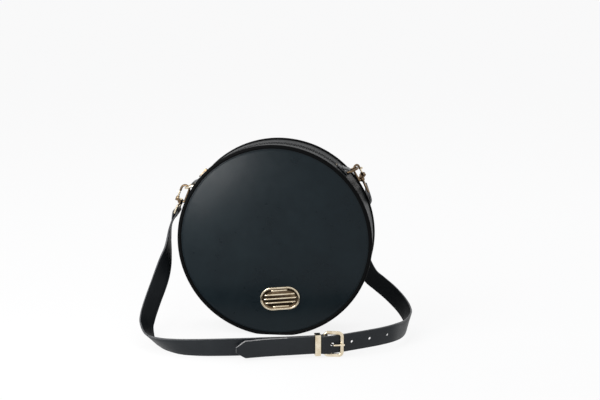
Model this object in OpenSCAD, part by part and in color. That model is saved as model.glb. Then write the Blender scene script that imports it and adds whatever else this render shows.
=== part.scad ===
// Round shoulder bag standing on its edge, with a zip over the top, piped edges and a
// buckled strap that hooks to a ring on each side. Lengths are in millimetres.
// X runs to the right, Y from the front face to the back, Z up from the floor.
// Angles on the bag are counted from its top, positive towards the right.

/* [Bag body] */
// Diameter over the piping
bag_d = 200; // [150:1:260]
// Depth over the two piped edges
bag_depth = 52; // [44:1:90]
// How far the bag is rolled to the left where it stands
bag_roll_angle = 6; // [0:0.5:10]
// Thickness of the piping
piping_d = 4; // [3:0.1:5]
// How far the piping stands out past the side band
piping_proud = 1.4; // [1:0.1:1.8]
// Thickness of the shell leather
leather_t = 1.4; // [1:0.1:1.8]
// Thickness of the stiffening board
board_t = 1; // [0.6:0.1:1.4]
// Thickness of the lining cloth
lining_t = 0.5; // [0.3:0.1:0.7]
// Width of the seam that joins panel, piping and side band
seam_w = 6; // [4:0.5:9]
// How much of the side band is pressed flat by the floor
floor_sag = 0.5; // [0.2:0.1:0.8]

/* [Zip] */
// Half of the angle of the part that folds open
mouth_half_angle = 37; // [30:1:38]
// Width of the gap that shows the teeth
zip_gap = 7; // [6:0.1:9]
// Width of each zip tape
tape_w = 13; // [10:0.5:15]
// Thickness of the zip tape
tape_t = 0.5; // [0.4:0.1:0.6]
// Width of one row of teeth
teeth_w = 1.5; // [1.3:0.1:1.7]
// Height of the teeth over the tape
teeth_h = 1.3; // [1.1:0.1:1.4]
// Distance from tooth to tooth
tooth_distance = 2.5; // [2:0.1:3.5]
// Clear space between the two rows of teeth
teeth_space = 2; // [1.8:0.1:2.2]
// Length of the slider along the zip
slider_len = 9; // [7:0.5:10]
// Width of the slider
slider_w = 9; // [8:0.5:11]
// Thickness of each slider plate
slider_t = 1; // [0.8:0.1:1.2]
// Length of the pull from its pin to its tip
pull_len = 10; // [8:0.5:10.5]
// Width of the pull
pull_w = 5; // [4:0.5:7]

/* [Tabs and rings] */
// Width of the leather tabs that hold the rings
tab_w = 12; // [8:0.5:12.5]
// Thickness of the tab leather
tab_t = 1.3; // [1:0.1:1.6]
// Angle at which each ring bar sits
ring_angle = 52.3; // [52:0.1:56]
// Inner width of the ring
ring_inner_w = 13; // [13:0.5:15]
// Wire diameter of the ring
ring_wire_d = 2.2; // [1.8:0.1:2.6]
// Length of the straight sides of the ring
ring_leg = 2.5; // [1.5:0.1:4]
// How far the left ring lifts off the side band
left_ring_angle = 36; // [30:1:60]
// How far the right ring lifts off the side band
right_ring_angle = 68; // [45:1:75]
// How far the right hook has slid round its ring
right_slide_angle = 45; // [35:1:50]

/* [Hooks] */
// Inner width of the hook
hook_inner_w = 6; // [5.6:0.1:7]
// Thickness of the hook wire
hook_wire_d = 2.4; // [2:0.1:2.8]
// Length of the straight part of the hook
hook_len = 13; // [12:0.1:15]
// Diameter of the swivel post
post_d = 3; // [2.4:0.1:3.4]
// Diameter of the gate pin
gate_pin_d = 1.4; // [1.2:0.1:1.6]
// Wire diameter of the swivel eye
eye_wire_d = 2.2; // [1.8:0.1:2.6]
// Length of the swivel eye
eye_len = 7.5; // [6.5:0.1:9]
// Lean of the left hook from straight down
left_hook_angle = 22; // [20:1:24]
// Lean of the right hook from straight down
right_hook_angle = 38; // [36:1:40]
// Heading of the right hook, round from the right towards the back
right_heading_angle = 54; // [52:1:56]

/* [Strap] */
// Width of the strap
strap_w = 18; // [15:0.5:20]
// Thickness of the strap
strap_t = 1.9; // [1.5:0.1:2.2]
// Space between the two strap layers
layer_gap = 0.3; // [0.2:0.1:0.5]
// Diameter of the buckle holes
hole_d = 3.8; // [3.5:0.1:4.5]
// Distance between the buckle holes
hole_distance = 20; // [15:0.5:22]
// Length of the pointed strap end
tip_len = 9; // [5:0.5:14]

/* [Buckle] */
// Distance from the pin bar to the front bar
buckle_len = 16.5; // [15:0.1:19]
// Diameter of the buckle bars
buckle_bar_d = 2.8; // [2.2:0.1:3]
// How far the front bar stands out past the pin bar
buckle_rise = 4.4; // [4:0.1:5]
// Diameter of the prong
prong_d = 1.7; // [1.4:0.1:1.9]
// Width of the keeper band along the strap
keeper_w = 5.5; // [4:0.1:7]
// Thickness of the keeper band
keeper_t = 1; // [0.8:0.1:1.3]
// Heading of the strap at the buckle
buckle_angle = 15; // [10:1:20]

/* [Badge] */
// Length of the badge
badge_l = 41; // [30:1:50]
// Height of the badge
badge_h = 24; // [16:1:30]
// Thickness of the badge
badge_t = 1.6; // [1.2:0.1:2.5]
// Width of the raised rim of the badge
badge_rim = 1.8; // [1.2:0.1:3]
// Distance of the badge centre below the bag centre
badge_drop = 59; // [50:1:62]
// Diameter of the two badge posts
badge_post_d = 1.8; // [1.4:0.1:2.4]

/* [Hidden] */

// Facets on a full turn of a large ring and of small round work
big_fn = 180;
small_fn = 40;
// Sides of the piping
piping_fn = 12;
// One overrun for every cut
over = 1;
// Play between pieces that are sewn or laid together
seam_play = 0.1;
// Play between pieces that move past each other
run_play = 0.3;
// Thickness of a corner as a share of its bars
corner_share = 1.04;
// Radial play of a pin in its hole
pin_play = 0.05;

bag_r = bag_d / 2;
half_depth = bag_depth / 2;
gusset_r = bag_r - piping_proud;
centre_z = gusset_r - floor_sag;
piping_r = bag_r - piping_d / 2;
piping_y = half_depth - piping_d / 2;
// Layers of the front and back, counted inwards from the outer face
panel_y = half_depth - piping_d / 10;
panel_r = bag_r - piping_d - seam_play * 2;
flange_y = panel_y - leather_t;
flange_t = leather_t * 0.57;
flange_in_r = bag_r - piping_d - seam_w;
foot_y = flange_y - flange_t - seam_play;
foot_t = leather_t * 2;
board_y = flange_y - seam_play;
board_r = flange_in_r - seam_play * 5;
washer_t = 0.5;
washer_y = board_y - board_t - seam_play / 2;
lining_y = washer_y - washer_t - seam_play;
foot_in_r = flange_in_r + seam_play * 10;
lining_r = foot_in_r - seam_play * 5;
band_y = half_depth - piping_d - seam_play;
band_in_r = gusset_r - leather_t;
foot_out_r = bag_r - piping_d - seam_play;
chord_z = piping_r * cos(mouth_half_angle);
mouth_play_angle = 0.2;

// Zip
tape_out_r = band_in_r - seam_play;
tape_in_r = tape_out_r - tape_t;
teeth_r = tape_out_r + teeth_h;
row_in = teeth_space / 2;
// Degrees round the bag for each millimetre along the side band
band_deg = 180 / PI / gusset_r;
slider_angle = slider_len * band_deg;
park_gap = 2.7;
slider_park = mouth_half_angle + park_gap * band_deg + slider_angle / 2;
stop_gap = 0.5;
stop_len = 1;
stop_angle = slider_park + slider_angle / 2 + stop_gap * band_deg;
// The tab starts past the stop and covers the end of the zip
tab_start_angle = stop_angle + 2 * stop_len * band_deg;
zip_half_angle = tab_start_angle + stop_len * band_deg;
slider_low_r = gusset_r + run_play;
slider_top_r = slider_low_r + slider_t;
slider_under_r = tape_in_r - run_play;
bail_pin_d = 1.2;
bail_half = pull_w * 0.24;
bail_rise = bail_pin_d * 1.1;
bail_r = slider_top_r + bail_rise;
pull_t = 1;

// Ring bar seat on the tab
bar_wrap_r = ring_wire_d / 2 + run_play + tab_t;
bar_r = gusset_r + seam_play / 2 + bar_wrap_r;
ring_arc_r = (ring_inner_w + ring_wire_d) / 2;

// Hook, measured from the place where the ring wire lies
hook_side = (hook_inner_w + hook_wire_d) / 2;
hook_arc_z = hook_inner_w / 2 - ring_wire_d / 2 - run_play;
gate_z = hook_arc_z + hook_len - hook_wire_d;
gate_free_z = hook_arc_z + hook_wire_d * 1.5;
shoulder_z = hook_arc_z + hook_len;
collar_h = 4;
collar_r = post_d * 0.9;
post_head_t = 1;
post_head_r = post_d * 0.62;
collar_z = shoulder_z - hook_wire_d / 2;
ear_t = 0.85;
ear_r = gate_pin_d * 1.1;
gate_half_y = 1;
gate_r = 0.9;
gate_eye_r = gate_pin_d * 0.9;
lever_len = 3;
eye_z = collar_z + collar_h + run_play + eye_wire_d / 2;
eye_out_z = eye_z + eye_len;
eye_half_w = strap_w / 2 + run_play * 2 + eye_wire_d / 2;
wrap_t = strap_t * 0.8;
eye_wrap_r = eye_wire_d / 2 + run_play + wrap_t;
wedge_len = eye_wrap_r * 3;

// Buckle, in its own axes: u along the strap, n out of it, v up
buckle_wrap_r = buckle_bar_d / 2 + run_play + wrap_t;
buckle_side_v = strap_w / 2 + run_play * 3 + buckle_bar_d / 2;
buckle_z = buckle_side_v + buckle_bar_d / 2;
buckle_u = buckle_len / 2;
buckle_wedge = buckle_wrap_r * 1.25;
keeper_u = -buckle_u - buckle_wedge - run_play - keeper_w / 2;
tail_n_pin = buckle_wrap_r + layer_gap + strap_t / 2;
tail_n_front = buckle_rise - buckle_bar_d / 2 - layer_gap - strap_t / 2;
tail_n = strap_t + layer_gap;
// Where the prong comes up through the strap
prong_u = -prong_d * 0.7;
slot_w = prong_d + run_play * 4;

// Place of the buckle as shares of the bag radius
buckle_x_share = 0.653;
buckle_y_share = -0.562;

// Route of the strap. Each row is a place and the direction of the strap's width:
// x share of the bag radius, side of the bag that y starts from (-1 front, 0 middle, 1 back),
// y share, z share, z share of the strap width, then the width direction.
left_route_shares = [
  [-1.129, 0, 0.010, 1.061, 0, -0.11, 0.99, 0.03],
  [-1.147, 0, 0.000, 0.933, 0, -0.02, 0.98, -0.20],
  [-1.153, 0, -0.040, 0.813, 0, 0.19, 0.88, -0.43],
  [-1.166, 0, -0.110, 0.702, 0, 0.52, 0.65, -0.55],
  [-1.182, 0, -0.200, 0.596, 0, 0.73, 0.44, -0.53],
  [-1.201, 0, -0.290, 0.503, 0, 0.78, 0.34, -0.52],
  [-1.222, -1, -0.130, 0.414, 0, 0.75, 0.34, -0.56],
  [-1.240, -1, -0.230, 0.326, 0, 0.73, 0.38, -0.56],
  [-1.250, -1, -0.320, 0.248, 0, 0.69, 0.46, -0.56],
  [-1.242, -1, -0.400, 0.184, 0, 0.58, 0.64, -0.51],
  [-1.183, -1, -0.500, 0.098, 0, 0.42, 0.62, -0.66],
  [-1.102, -1, -0.575, 0.080, 0, 0.30, 0.60, -0.74],
  [-0.994, -1, -0.645, 0.076, 0, 0.16, 0.50, -0.85],
  [-0.876, -1, -0.700, 0.081, 0, 0.05, 0.34, -0.94],
  [-0.748, -1, -0.735, 0.091, 0, 0.03, 0.24, -0.97],
  [-0.594, -1, -0.760, 0.103, 0, 0.02, 0.15, -0.99],
  [-0.396, -1, -0.765, 0.115, 0, 0.01, 0.10, -1.00],
  [-0.180, -1, -0.740, 0.120, 0, 0.00, 0.07, -1.00],
  [0.015, -1, -0.700, 0.120, 0, 0.00, 0.00, -1.00],
  [0.215, -1, -0.655, 0.119, 0, 0.00, 0.00, -1.00]];
right_route_shares = [
  [0.834, -1, -0.503, 0.133, 0, 0.00, 0.00, -1.00],
  [0.971, -1, -0.427, 0.138, 0, 0.00, 0.00, -1.00],
  [1.114, -1, -0.342, 0.144, 0, 0.00, 0.00, -1.00],
  [1.239, -1, -0.221, 0.144, 0, 0.00, 0.00, -1.00],
  [1.328, 0, -0.270, 0.000, 0.68, -0.12, 0.00, -0.99],
  [1.372, 0, -0.080, 0.030, 0.60, -0.26, 0.03, -0.96],
  [1.358, 0, 0.120, 0.148, 0, -0.36, 0.08, -0.92],
  [1.290, 0, 0.250, 0.215, 0, -0.45, 0.10, -0.88],
  [1.170, 1, 0.090, 0.310, 0, -0.60, 0.05, -0.78],
  [1.050, 1, 0.140, 0.395, 0, -0.64, 0.00, -0.76],
  [0.950, 1, 0.160, 0.475, 0, -0.70, 0.00, -0.70],
  [0.870, 1, 0.160, 0.620, 0, -0.90, 0.05, -0.38],
  [0.815, 1, 0.150, 0.800, 0, -0.97, 0.15, -0.15],
  [0.800, 1, 0.135, 1.000, 0, -0.80, 0.58, -0.02],
  [0.845, 1, 0.130, 1.180, 0, -0.52, 0.84, 0.15],
  [0.915, 1, 0.090, 1.340, 0, -0.38, 0.86, 0.34]];
// Rings of the swept strap from one place on the route to the next
route_steps = 3;
// Width left at the very tip of the strap
tip_share = 0.3;

leather_black = [0.09, 0.10, 0.11];
leather_dark = [0.05, 0.055, 0.06];
zip_black = [0.12, 0.12, 0.13];
lining_grey = [0.25, 0.24, 0.26];
board_grey = [0.45, 0.42, 0.38];
gold = [0.83, 0.68, 0.42];

// Vector helpers
function unit(v) = v / norm(v);
function blend4(a, b, c, d, t) =
  0.5 * (2 * b + (c - a) * t + (2 * a - 5 * b + 4 * c - d) * t * t + (3 * b - a - 3 * c + d) * t * t * t);
function past(p) = concat([2 * p[0] - p[1]], p, [2 * p[len(p) - 1] - p[len(p) - 2]]);
function smooth(p) = let (q = past(p), n = len(p))
  concat([for (i = [0 : n - 2]) for (k = [0 : route_steps - 1])
            blend4(q[i], q[i + 1], q[i + 2], q[i + 3], k / route_steps)], [p[n - 1]]);
function heading_at(p, i) = let (n = len(p)) unit(p[min(i + 1, n - 1)] - p[max(i - 1, 0)]);
function square_to(w, t) = unit(w - t * (w * t));

// A route row as a place and as a width direction
function row_place(r) = [r[0] * bag_r, r[1] * half_depth + r[2] * bag_r, r[3] * bag_r + r[4] * strap_w];
function row_width(r) = unit([r[5], r[6], r[7]]);

// Axes of the buckle
u_dir = [cos(buckle_angle), sin(buckle_angle), 0];
n_dir = [sin(buckle_angle), -cos(buckle_angle), 0];
v_dir = [0, 0, 1];
buckle_at = [buckle_x_share * bag_r, buckle_y_share * bag_r - half_depth, buckle_z];
function at_buckle(u, n) = buckle_at + u_dir * u + n_dir * n;

// Place on the bag at an angle from its top, before and after the roll
function polar(angle, r) = [r * sin(angle), 0, r * cos(angle)];
function on_bag(angle, r) = polar(angle - bag_roll_angle, r) + [0, 0, centre_z];

// Ring bars, the place on the ring where each hook hangs, and the hook directions
function ring_lean(side) = side < 0 ? left_ring_angle : right_ring_angle;
function ring_out(side) = let (a = side * ring_angle - bag_roll_angle, l = ring_lean(side))
  [sin(a) * sin(l) + side * cos(a) * cos(l), 0, cos(a) * sin(l) - side * sin(a) * cos(l)];
function ring_bar(side) = on_bag(side * ring_angle, bar_r);
function hook_slide(side) = side < 0 ? 0 : right_slide_angle;
function hook_at(side) = ring_bar(side)
  + ring_out(side) * (ring_leg + ring_arc_r * cos(hook_slide(side)))
  + [0, ring_arc_r * sin(hook_slide(side)), 0];
function hook_lean(side) = side < 0 ? left_hook_angle : right_hook_angle;
function hook_heading(side) = side < 0 ? 180 : right_heading_angle;
function hook_dir(side) = let (l = hook_lean(side), h = hook_heading(side))
  [sin(l) * cos(h), sin(l) * sin(h), -cos(l)];
// Width direction of each swivel eye, square to its hook
function eye_side(side) = side < 0 ? [0, 1, 0]
  : unit(cross([sin(ring_angle), 0, cos(ring_angle)], hook_dir(side)));
function eye_bar(side) = hook_at(side) + hook_dir(side) * eye_out_z;

// The strap's places and width directions from end to end
left_places = concat(
  [eye_bar(-1) + hook_dir(-1) * wedge_len * 0.8],
  [for (r = left_route_shares) row_place(r)],
  [at_buckle(-buckle_u - buckle_wedge - strap_w * 0.7, 0), at_buckle(-buckle_u - buckle_wedge * 0.8, 0)]);
left_widths = concat([[-0.14, 0.97, -0.20]], [for (r = left_route_shares) row_width(r)], [-v_dir, -v_dir]);
// Rows beside which the pointed end lies, and how far it stands off, as shares of the strap thickness
tail_rows = [17, 18, 19];
tail_off_shares = [2.4, 1.3, 0.4];
function outward(i) = let (t = heading_at(left_places, i)) unit(cross(square_to(left_widths[i], t), t));
tail_places = [for (k = [0 : 2]) let (i = tail_rows[k] + 1)
  left_places[i] + outward(i) * (tail_n + strap_t * tail_off_shares[k])];
right_places = concat(tail_places,
  [at_buckle(keeper_u - keeper_w * 1.5, tail_n),
   at_buckle(keeper_u + keeper_w * 0.2, tail_n),
   at_buckle(-buckle_u - buckle_wrap_r, tail_n * 0.4 + tail_n_pin * 0.6),
   at_buckle(-buckle_u, tail_n_pin),
   at_buckle(prong_u, (tail_n_pin + tail_n_front) / 2),
   at_buckle(buckle_u, tail_n_front) + v_dir * run_play],
  [for (r = right_route_shares) row_place(r)],
  [eye_bar(1) + hook_dir(1) * wedge_len * 0.8]);
right_widths = concat([for (i = tail_rows) left_widths[i + 1]],
  [for (i = [1 : 6]) -v_dir], [for (r = right_route_shares) row_width(r)], [eye_side(1)]);
// The place on the right strap that lies over the prong
first_hole_place = len(tail_rows) + 4;

// Frames that place a shape on the bag, at a hook, at a swivel eye or at the buckle
module on_roll() { translate([0, 0, centre_z]) rotate([0, -bag_roll_angle, 0]) children(); }
module on_side(side) { on_roll() mirror([side < 0 ? 1 : 0, 0, 0]) children(); }
module at_angle(angle, r) { rotate([0, angle, 0]) translate([0, 0, r]) children(); }
module at_hook(side) {
  translate(hook_at(side)) rotate([0, 0, hook_heading(side)]) rotate([0, 180 - hook_lean(side), 0]) children();
}
module in_axes(x, y, z, at) {
  multmatrix([[x[0], y[0], z[0], at[0]], [x[1], y[1], z[1], at[1]], [x[2], y[2], z[2], at[2]], [0, 0, 0, 1]])
    children();
}
module at_eye(side) {
  in_axes(cross(eye_side(side), hook_dir(side)), eye_side(side), hook_dir(side), hook_at(side)) children();
}
module in_buckle() { in_axes(u_dir, n_dir, -v_dir, buckle_at) children(); }

// Turns a profile of radius and y round the bag between two angles
module sweep(a0, a1) {
  rotate([-90, 0, 0]) rotate([0, 0, a0 - 90]) rotate_extrude(angle = a1 - a0, $fn = big_fn) children();
}
// A disc of the front (side -1) or of the back (side 1), counted from its outer face
module layer(side, r, y_out, t) {
  rotate([-90, 0, 0]) translate([0, 0, side < 0 ? -y_out : y_out - t]) cylinder(h = t, r = r, $fn = big_fn);
}
module above_chord() {
  intersection() {
    children();
    translate([-bag_r, -bag_depth, chord_z + run_play / 2]) cube([bag_d, 2 * bag_depth, bag_r]);
  }
}
module below_chord() {
  intersection() {
    children();
    translate([-bag_d, -bag_depth, -bag_d]) cube([2 * bag_d, 2 * bag_depth, bag_d + chord_z - run_play / 2]);
  }
}
// What the floor presses flat
module on_floor() {
  difference() {
    children();
    translate([-bag_d, -bag_d, -bag_d]) cube([2 * bag_d, 2 * bag_d, bag_d]);
  }
}
// A round bar between two places
module bar(a, b, d) {
  l = norm(b - a);
  t = (b - a) / l;
  translate(a) rotate([0, acos(t[2]), atan2(t[1], t[0])]) cylinder(h = l, d = d, $fn = small_fn);
}
module ball(a, d) { translate(a) sphere(d = d, $fn = small_fn); }
// A corner between two bars, a little thicker than they are
module corner(a, d) { ball(a, d * corner_share); }

// Shell panels, boards and linings
module badge_holes(r) {
  for (k = [-1, 1]) translate([k * badge_l / 4, 0, -badge_drop]) rotate([90, 0, 0])
    translate([0, 0, -half_depth]) cylinder(h = bag_depth * 2, r = r, $fn = small_fn);
}
module holed_layer(r, y_out, t) {
  difference() {
    layer(-1, r, y_out, t);
    badge_holes(badge_post_d / 2 + seam_play);
  }
}
module front_panel() {
  color(leather_black) on_roll() below_chord() holed_layer(panel_r, panel_y, leather_t);
}
module front_panel_mouth() {
  color(leather_black) on_roll() above_chord() layer(-1, panel_r, panel_y, leather_t);
}
module back_panel() { color(leather_black) on_roll() layer(1, panel_r, panel_y, leather_t); }
module front_stiffener() {
  color(board_grey) on_roll() below_chord() holed_layer(board_r, board_y, board_t);
}
module front_stiffener_mouth() {
  color(board_grey) on_roll() above_chord() layer(-1, board_r, board_y, board_t);
}
module back_stiffener() { color(board_grey) on_roll() layer(1, board_r, board_y, board_t); }
module front_lining() {
  color(lining_grey) on_roll() below_chord() layer(-1, lining_r, lining_y, lining_t);
}
module front_lining_mouth() {
  color(lining_grey) on_roll() above_chord() layer(-1, lining_r, lining_y, lining_t);
}
module back_lining() { color(lining_grey) on_roll() layer(1, lining_r, lining_y, lining_t); }

// Piping with its sewn flange
module piping_profile(side) {
  translate([piping_r, side * piping_y]) circle(d = piping_d, $fn = piping_fn);
  translate([flange_in_r, side < 0 ? -flange_y : flange_y - flange_t]) square([piping_r - flange_in_r, flange_t]);
}
module front_piping() {
  a = mouth_half_angle + mouth_play_angle / 2;
  color(leather_dark) on_floor() on_roll() sweep(a, 360 - a) piping_profile(-1);
}
module front_piping_mouth() { color(leather_dark) over_mouth() piping_profile(-1); }
module back_piping() { color(leather_dark) on_floor() on_roll() sweep(0, 360) piping_profile(1); }

// One side band from its turned-in seam to y = inner
module band_profile(side, inner) {
  polygon([[foot_in_r, side * foot_y], [foot_out_r, side * foot_y], [foot_out_r, side * band_y],
           [gusset_r, side * band_y], [gusset_r, side * inner], [band_in_r, side * inner],
           [band_in_r, side * (foot_y - foot_t)], [foot_in_r, side * (foot_y - foot_t)]]);
}
module whole_band_profile() {
  edge = [[foot_in_r, foot_y - foot_t], [foot_in_r, foot_y], [foot_out_r, foot_y],
          [foot_out_r, band_y], [gusset_r, band_y]];
  polygon(concat([[band_in_r, foot_y - foot_t]], edge, [for (i = [4 : -1 : 0]) [edge[i][0], -edge[i][1]]],
                 [[band_in_r, foot_t - foot_y]]));
}
module base_gusset() {
  color(leather_black) on_floor() on_roll() sweep(zip_half_angle, 360 - zip_half_angle) whole_band_profile();
}
module gusset_lining() {
  lining_y_end = foot_y - foot_t - seam_play;
  color(lining_grey) on_roll() sweep(zip_half_angle, 360 - zip_half_angle)
    translate([band_in_r - seam_play - lining_t, -lining_y_end]) square([lining_t, 2 * lining_y_end]);
}

// Zip facings, tapes and teeth. The front ones fold open over the mouth angle
// and stay with the bag beyond it.
module over_mouth() {
  on_roll() sweep(-mouth_half_angle + mouth_play_angle / 2, mouth_half_angle - mouth_play_angle / 2) children();
}
module over_ends() {
  on_roll() for (k = [0, 1]) mirror([k, 0, 0])
    sweep(mouth_half_angle + mouth_play_angle / 2, zip_half_angle - mouth_play_angle / 2) children();
}
module over_zip() {
  on_roll() sweep(-zip_half_angle + mouth_play_angle / 2, zip_half_angle - mouth_play_angle / 2) children();
}
module tape_profile(side) {
  translate([tape_in_r, side < 0 ? -row_in - tape_w : row_in]) square([tape_t, tape_w]);
}
module teeth(side, a0, a1) {
  pitch_angle = tooth_distance / teeth_r * 180 / PI;
  n = floor((a1 - a0) / pitch_angle);
  for (i = [0 : n - 1]) at_angle(a0 + (i + 0.5) * (a1 - a0) / n, tape_out_r)
    translate([-tooth_distance * 0.3, side < 0 ? -row_in - teeth_w : row_in, 0])
      cube([tooth_distance * 0.6, teeth_w, teeth_h]);
}
module front_zip_facing() { color(leather_black) over_mouth() band_profile(-1, zip_gap / 2); }
module front_facing_ends() { color(leather_black) over_ends() band_profile(-1, zip_gap / 2); }
module back_zip_facing() { color(leather_black) over_zip() band_profile(1, zip_gap / 2); }
module front_zip_tape() { color(zip_black) over_mouth() tape_profile(-1); }
module front_tape_ends() { color(zip_black) over_ends() tape_profile(-1); }
module back_zip_tape() { color(zip_black) over_zip() tape_profile(1); }
module front_zip_teeth() {
  color(zip_black) on_roll()
    teeth(-1, -mouth_half_angle + mouth_play_angle / 2, mouth_half_angle - mouth_play_angle / 2);
}
module front_teeth_ends() {
  color(zip_black) on_roll() for (k = [0, 1]) mirror([k, 0, 0])
    teeth(-1, mouth_half_angle + mouth_play_angle / 2, zip_half_angle - mouth_play_angle / 2);
}
module back_zip_teeth() {
  color(zip_black) on_roll()
    teeth(1, -zip_half_angle + mouth_play_angle / 2, zip_half_angle - mouth_play_angle / 2);
}
module zip_stops() {
  color(gold) on_roll() for (k = [0, 1]) mirror([k, 0, 0]) for (side = [-1, 1])
    sweep(stop_angle, stop_angle + stop_len * band_deg)
      translate([teeth_r, side < 0 ? -row_in - teeth_w : row_in]) square([run_play, teeth_w]);
}

// Slider: two plates joined by a thin post that runs between the rows, with a bail
module zip_slider() {
  a = slider_angle / 2;
  color(gold) on_roll() {
    sweep(-slider_park - a, -slider_park + a)
      translate([slider_low_r, -slider_w / 2]) square([slider_t, slider_w]);
    sweep(-slider_park - a, -slider_park + a)
      translate([slider_under_r - slider_t, -slider_w / 2]) square([slider_t, slider_w]);
    sweep(-slider_park - a / 3, -slider_park + a / 3)
      translate([slider_under_r - slider_t / 2, -row_in + run_play])
        square([slider_low_r - slider_under_r + slider_t, 2 * (row_in - run_play)]);
    at_angle(-slider_park, bail_r) {
      for (k = [-1, 1]) translate([0, k * (bail_half + run_play / 2 + ear_t / 2), 0]) rotate([90, 0, 0]) {
        cylinder(h = ear_t, d = bail_pin_d * 2, center = true, $fn = small_fn);
        translate([-bail_pin_d, -bail_rise - slider_t / 2, -ear_t / 2])
          cube([bail_pin_d * 2, bail_rise + slider_t / 2, ear_t]);
      }
      rotate([90, 0, 0]) cylinder(h = 2 * bail_half + run_play + ear_t, d = bail_pin_d, center = true, $fn = small_fn);
    }
  }
}
module zip_pull() {
  eye_r = bail_pin_d * 0.95;
  neck = bail_pin_d * 2;
  color(gold) on_roll() at_angle(-slider_park, bail_r) rotate([90, 0, 0]) difference() {
    union() {
      cylinder(h = 2 * bail_half, r = eye_r, center = true, $fn = small_fn);
      translate([-neck, -pull_t / 2, -bail_half]) cube([neck, pull_t, 2 * bail_half]);
      rotate([90, 0, 0]) {
        translate([-pull_len + pull_w / 2, 0, 0]) cylinder(h = pull_t, d = pull_w, center = true, $fn = small_fn);
        translate([-pull_len + pull_w / 2, -pull_w / 2, -pull_t / 2])
          cube([pull_len - pull_w / 2 - neck + bail_pin_d / 4, pull_w, pull_t]);
      }
    }
    cylinder(h = pull_w * 2, r = bail_pin_d / 2 + pin_play, center = true, $fn = small_fn);
    rotate([90, 0, 0]) translate([-pull_len + pull_w / 2, 0, 0])
      cylinder(h = pull_t * 3, d = pull_w * 0.4, center = true, $fn = small_fn);
  }
}

// Leather tab that lies on the side band and wraps the ring bar
module tab_shape() {
  in_r = gusset_r + seam_play / 2;
  l = tab_t * 4;
  end_angle = ring_angle - l * 0.9 / in_r * 180 / PI;
  second_angle = tab_start_angle + (end_angle - tab_start_angle) * 0.7;
  sweep(tab_start_angle, end_angle) translate([in_r, -tab_w / 2]) square([tab_t, tab_w]);
  sweep(second_angle, end_angle) translate([in_r, -tab_w / 2]) square([tab_t * 2, tab_w]);
  at_angle(ring_angle, bar_r) rotate([90, 0, 0]) linear_extrude(height = tab_w, center = true) difference() {
    union() {
      circle(r = bar_wrap_r, $fn = small_fn);
      polygon([[0, -bar_wrap_r], [0, bar_wrap_r], [-l, -bar_wrap_r + 2 * tab_t], [-l, -bar_wrap_r]]);
    }
    circle(d = ring_wire_d + 2 * run_play, $fn = small_fn);
  }
}
module left_tab() { color(leather_black) on_side(-1) tab_shape(); }
module right_tab() { color(leather_black) on_side(1) tab_shape(); }

// Rings
module ring_shape(side) {
  o = ring_out(side);
  color(gold) translate(ring_bar(side)) rotate([0, -atan2(o[2], o[0]), 0]) {
    bar([0, -ring_arc_r, 0], [0, ring_arc_r, 0], ring_wire_d);
    for (k = [-1, 1]) {
      ball([0, k * ring_arc_r, 0], ring_wire_d);
      bar([0, k * ring_arc_r, 0], [ring_leg, k * ring_arc_r, 0], ring_wire_d);
    }
    translate([ring_leg, 0, 0]) rotate([0, 0, -90]) rotate_extrude(angle = 180, $fn = big_fn)
      translate([ring_arc_r, 0]) circle(d = ring_wire_d, $fn = small_fn);
  }
}
module left_ring() { ring_shape(-1); }
module right_ring() { ring_shape(1); }

// Hook body: nose, spine, stub, shoulder, ears for the gate and a collar for the swivel post
module hook_shape(side) {
  color(gold) at_hook(side) {
    translate([0, 0, hook_arc_z]) rotate([90, 0, 0]) rotate([0, 0, 180])
      rotate_extrude(angle = 180, $fn = big_fn) translate([hook_side, 0]) circle(d = hook_wire_d, $fn = small_fn);
    bar([hook_side, 0, hook_arc_z], [hook_side, 0, shoulder_z], hook_wire_d);
    bar([-hook_side, 0, hook_arc_z], [-hook_side, 0, gate_free_z - run_play], hook_wire_d);
    ball([hook_side, 0, shoulder_z], hook_wire_d);
    difference() {
      union() {
        bar([hook_side, 0, shoulder_z], [0, 0, shoulder_z], hook_wire_d);
        translate([0, 0, collar_z]) cylinder(h = collar_h, r = collar_r, $fn = small_fn);
        translate([-hook_side - ear_r, -gate_half_y - pin_play - ear_t, shoulder_z - hook_wire_d / 4])
          cube([hook_side + ear_r, 2 * (gate_half_y + pin_play + ear_t), hook_wire_d * 0.75]);
      }
      translate([0, 0, collar_z - over]) cylinder(h = collar_h + 2 * over, r = post_d / 2 + pin_play, $fn = small_fn);
    }
    difference() {
      for (k = [-1, 1]) translate([0, k * (gate_half_y + pin_play + ear_t / 2), 0]) {
        translate([-hook_side, 0, gate_z]) rotate([90, 0, 0])
          cylinder(h = ear_t, r = ear_r, center = true, $fn = small_fn);
        translate([-hook_side - ear_r, -ear_t / 2, gate_z]) cube([2 * ear_r, ear_t, shoulder_z - gate_z]);
      }
      translate([-hook_side, 0, gate_z]) rotate([90, 0, 0])
        cylinder(h = hook_inner_w, d = gate_pin_d, center = true, $fn = small_fn);
    }
  }
}
module left_hook() { hook_shape(-1); }
module right_hook() { hook_shape(1); }

module gate_shape(side) {
  color(gold) at_hook(side) translate([-hook_side, 0, 0]) difference() {
    union() {
      translate([0, 0, gate_z]) rotate([90, 0, 0])
        cylinder(h = 2 * gate_half_y, r = gate_eye_r, center = true, $fn = small_fn);
      bar([0, 0, gate_free_z], [0, 0, gate_z], 2 * gate_r);
      translate([0, 0, gate_free_z + gate_r * 1.6]) rotate([0, -90, 0]) {
        cylinder(h = lever_len, r = gate_r * 0.7, $fn = small_fn);
        translate([0, 0, lever_len - gate_r]) cylinder(h = gate_r, r = gate_r * 1.2, $fn = small_fn);
      }
    }
    translate([0, 0, gate_z]) rotate([90, 0, 0])
      cylinder(h = hook_inner_w, r = gate_pin_d / 2 + pin_play, center = true, $fn = small_fn);
  }
}
module left_gate() { gate_shape(-1); }
module right_gate() { gate_shape(1); }

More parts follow.
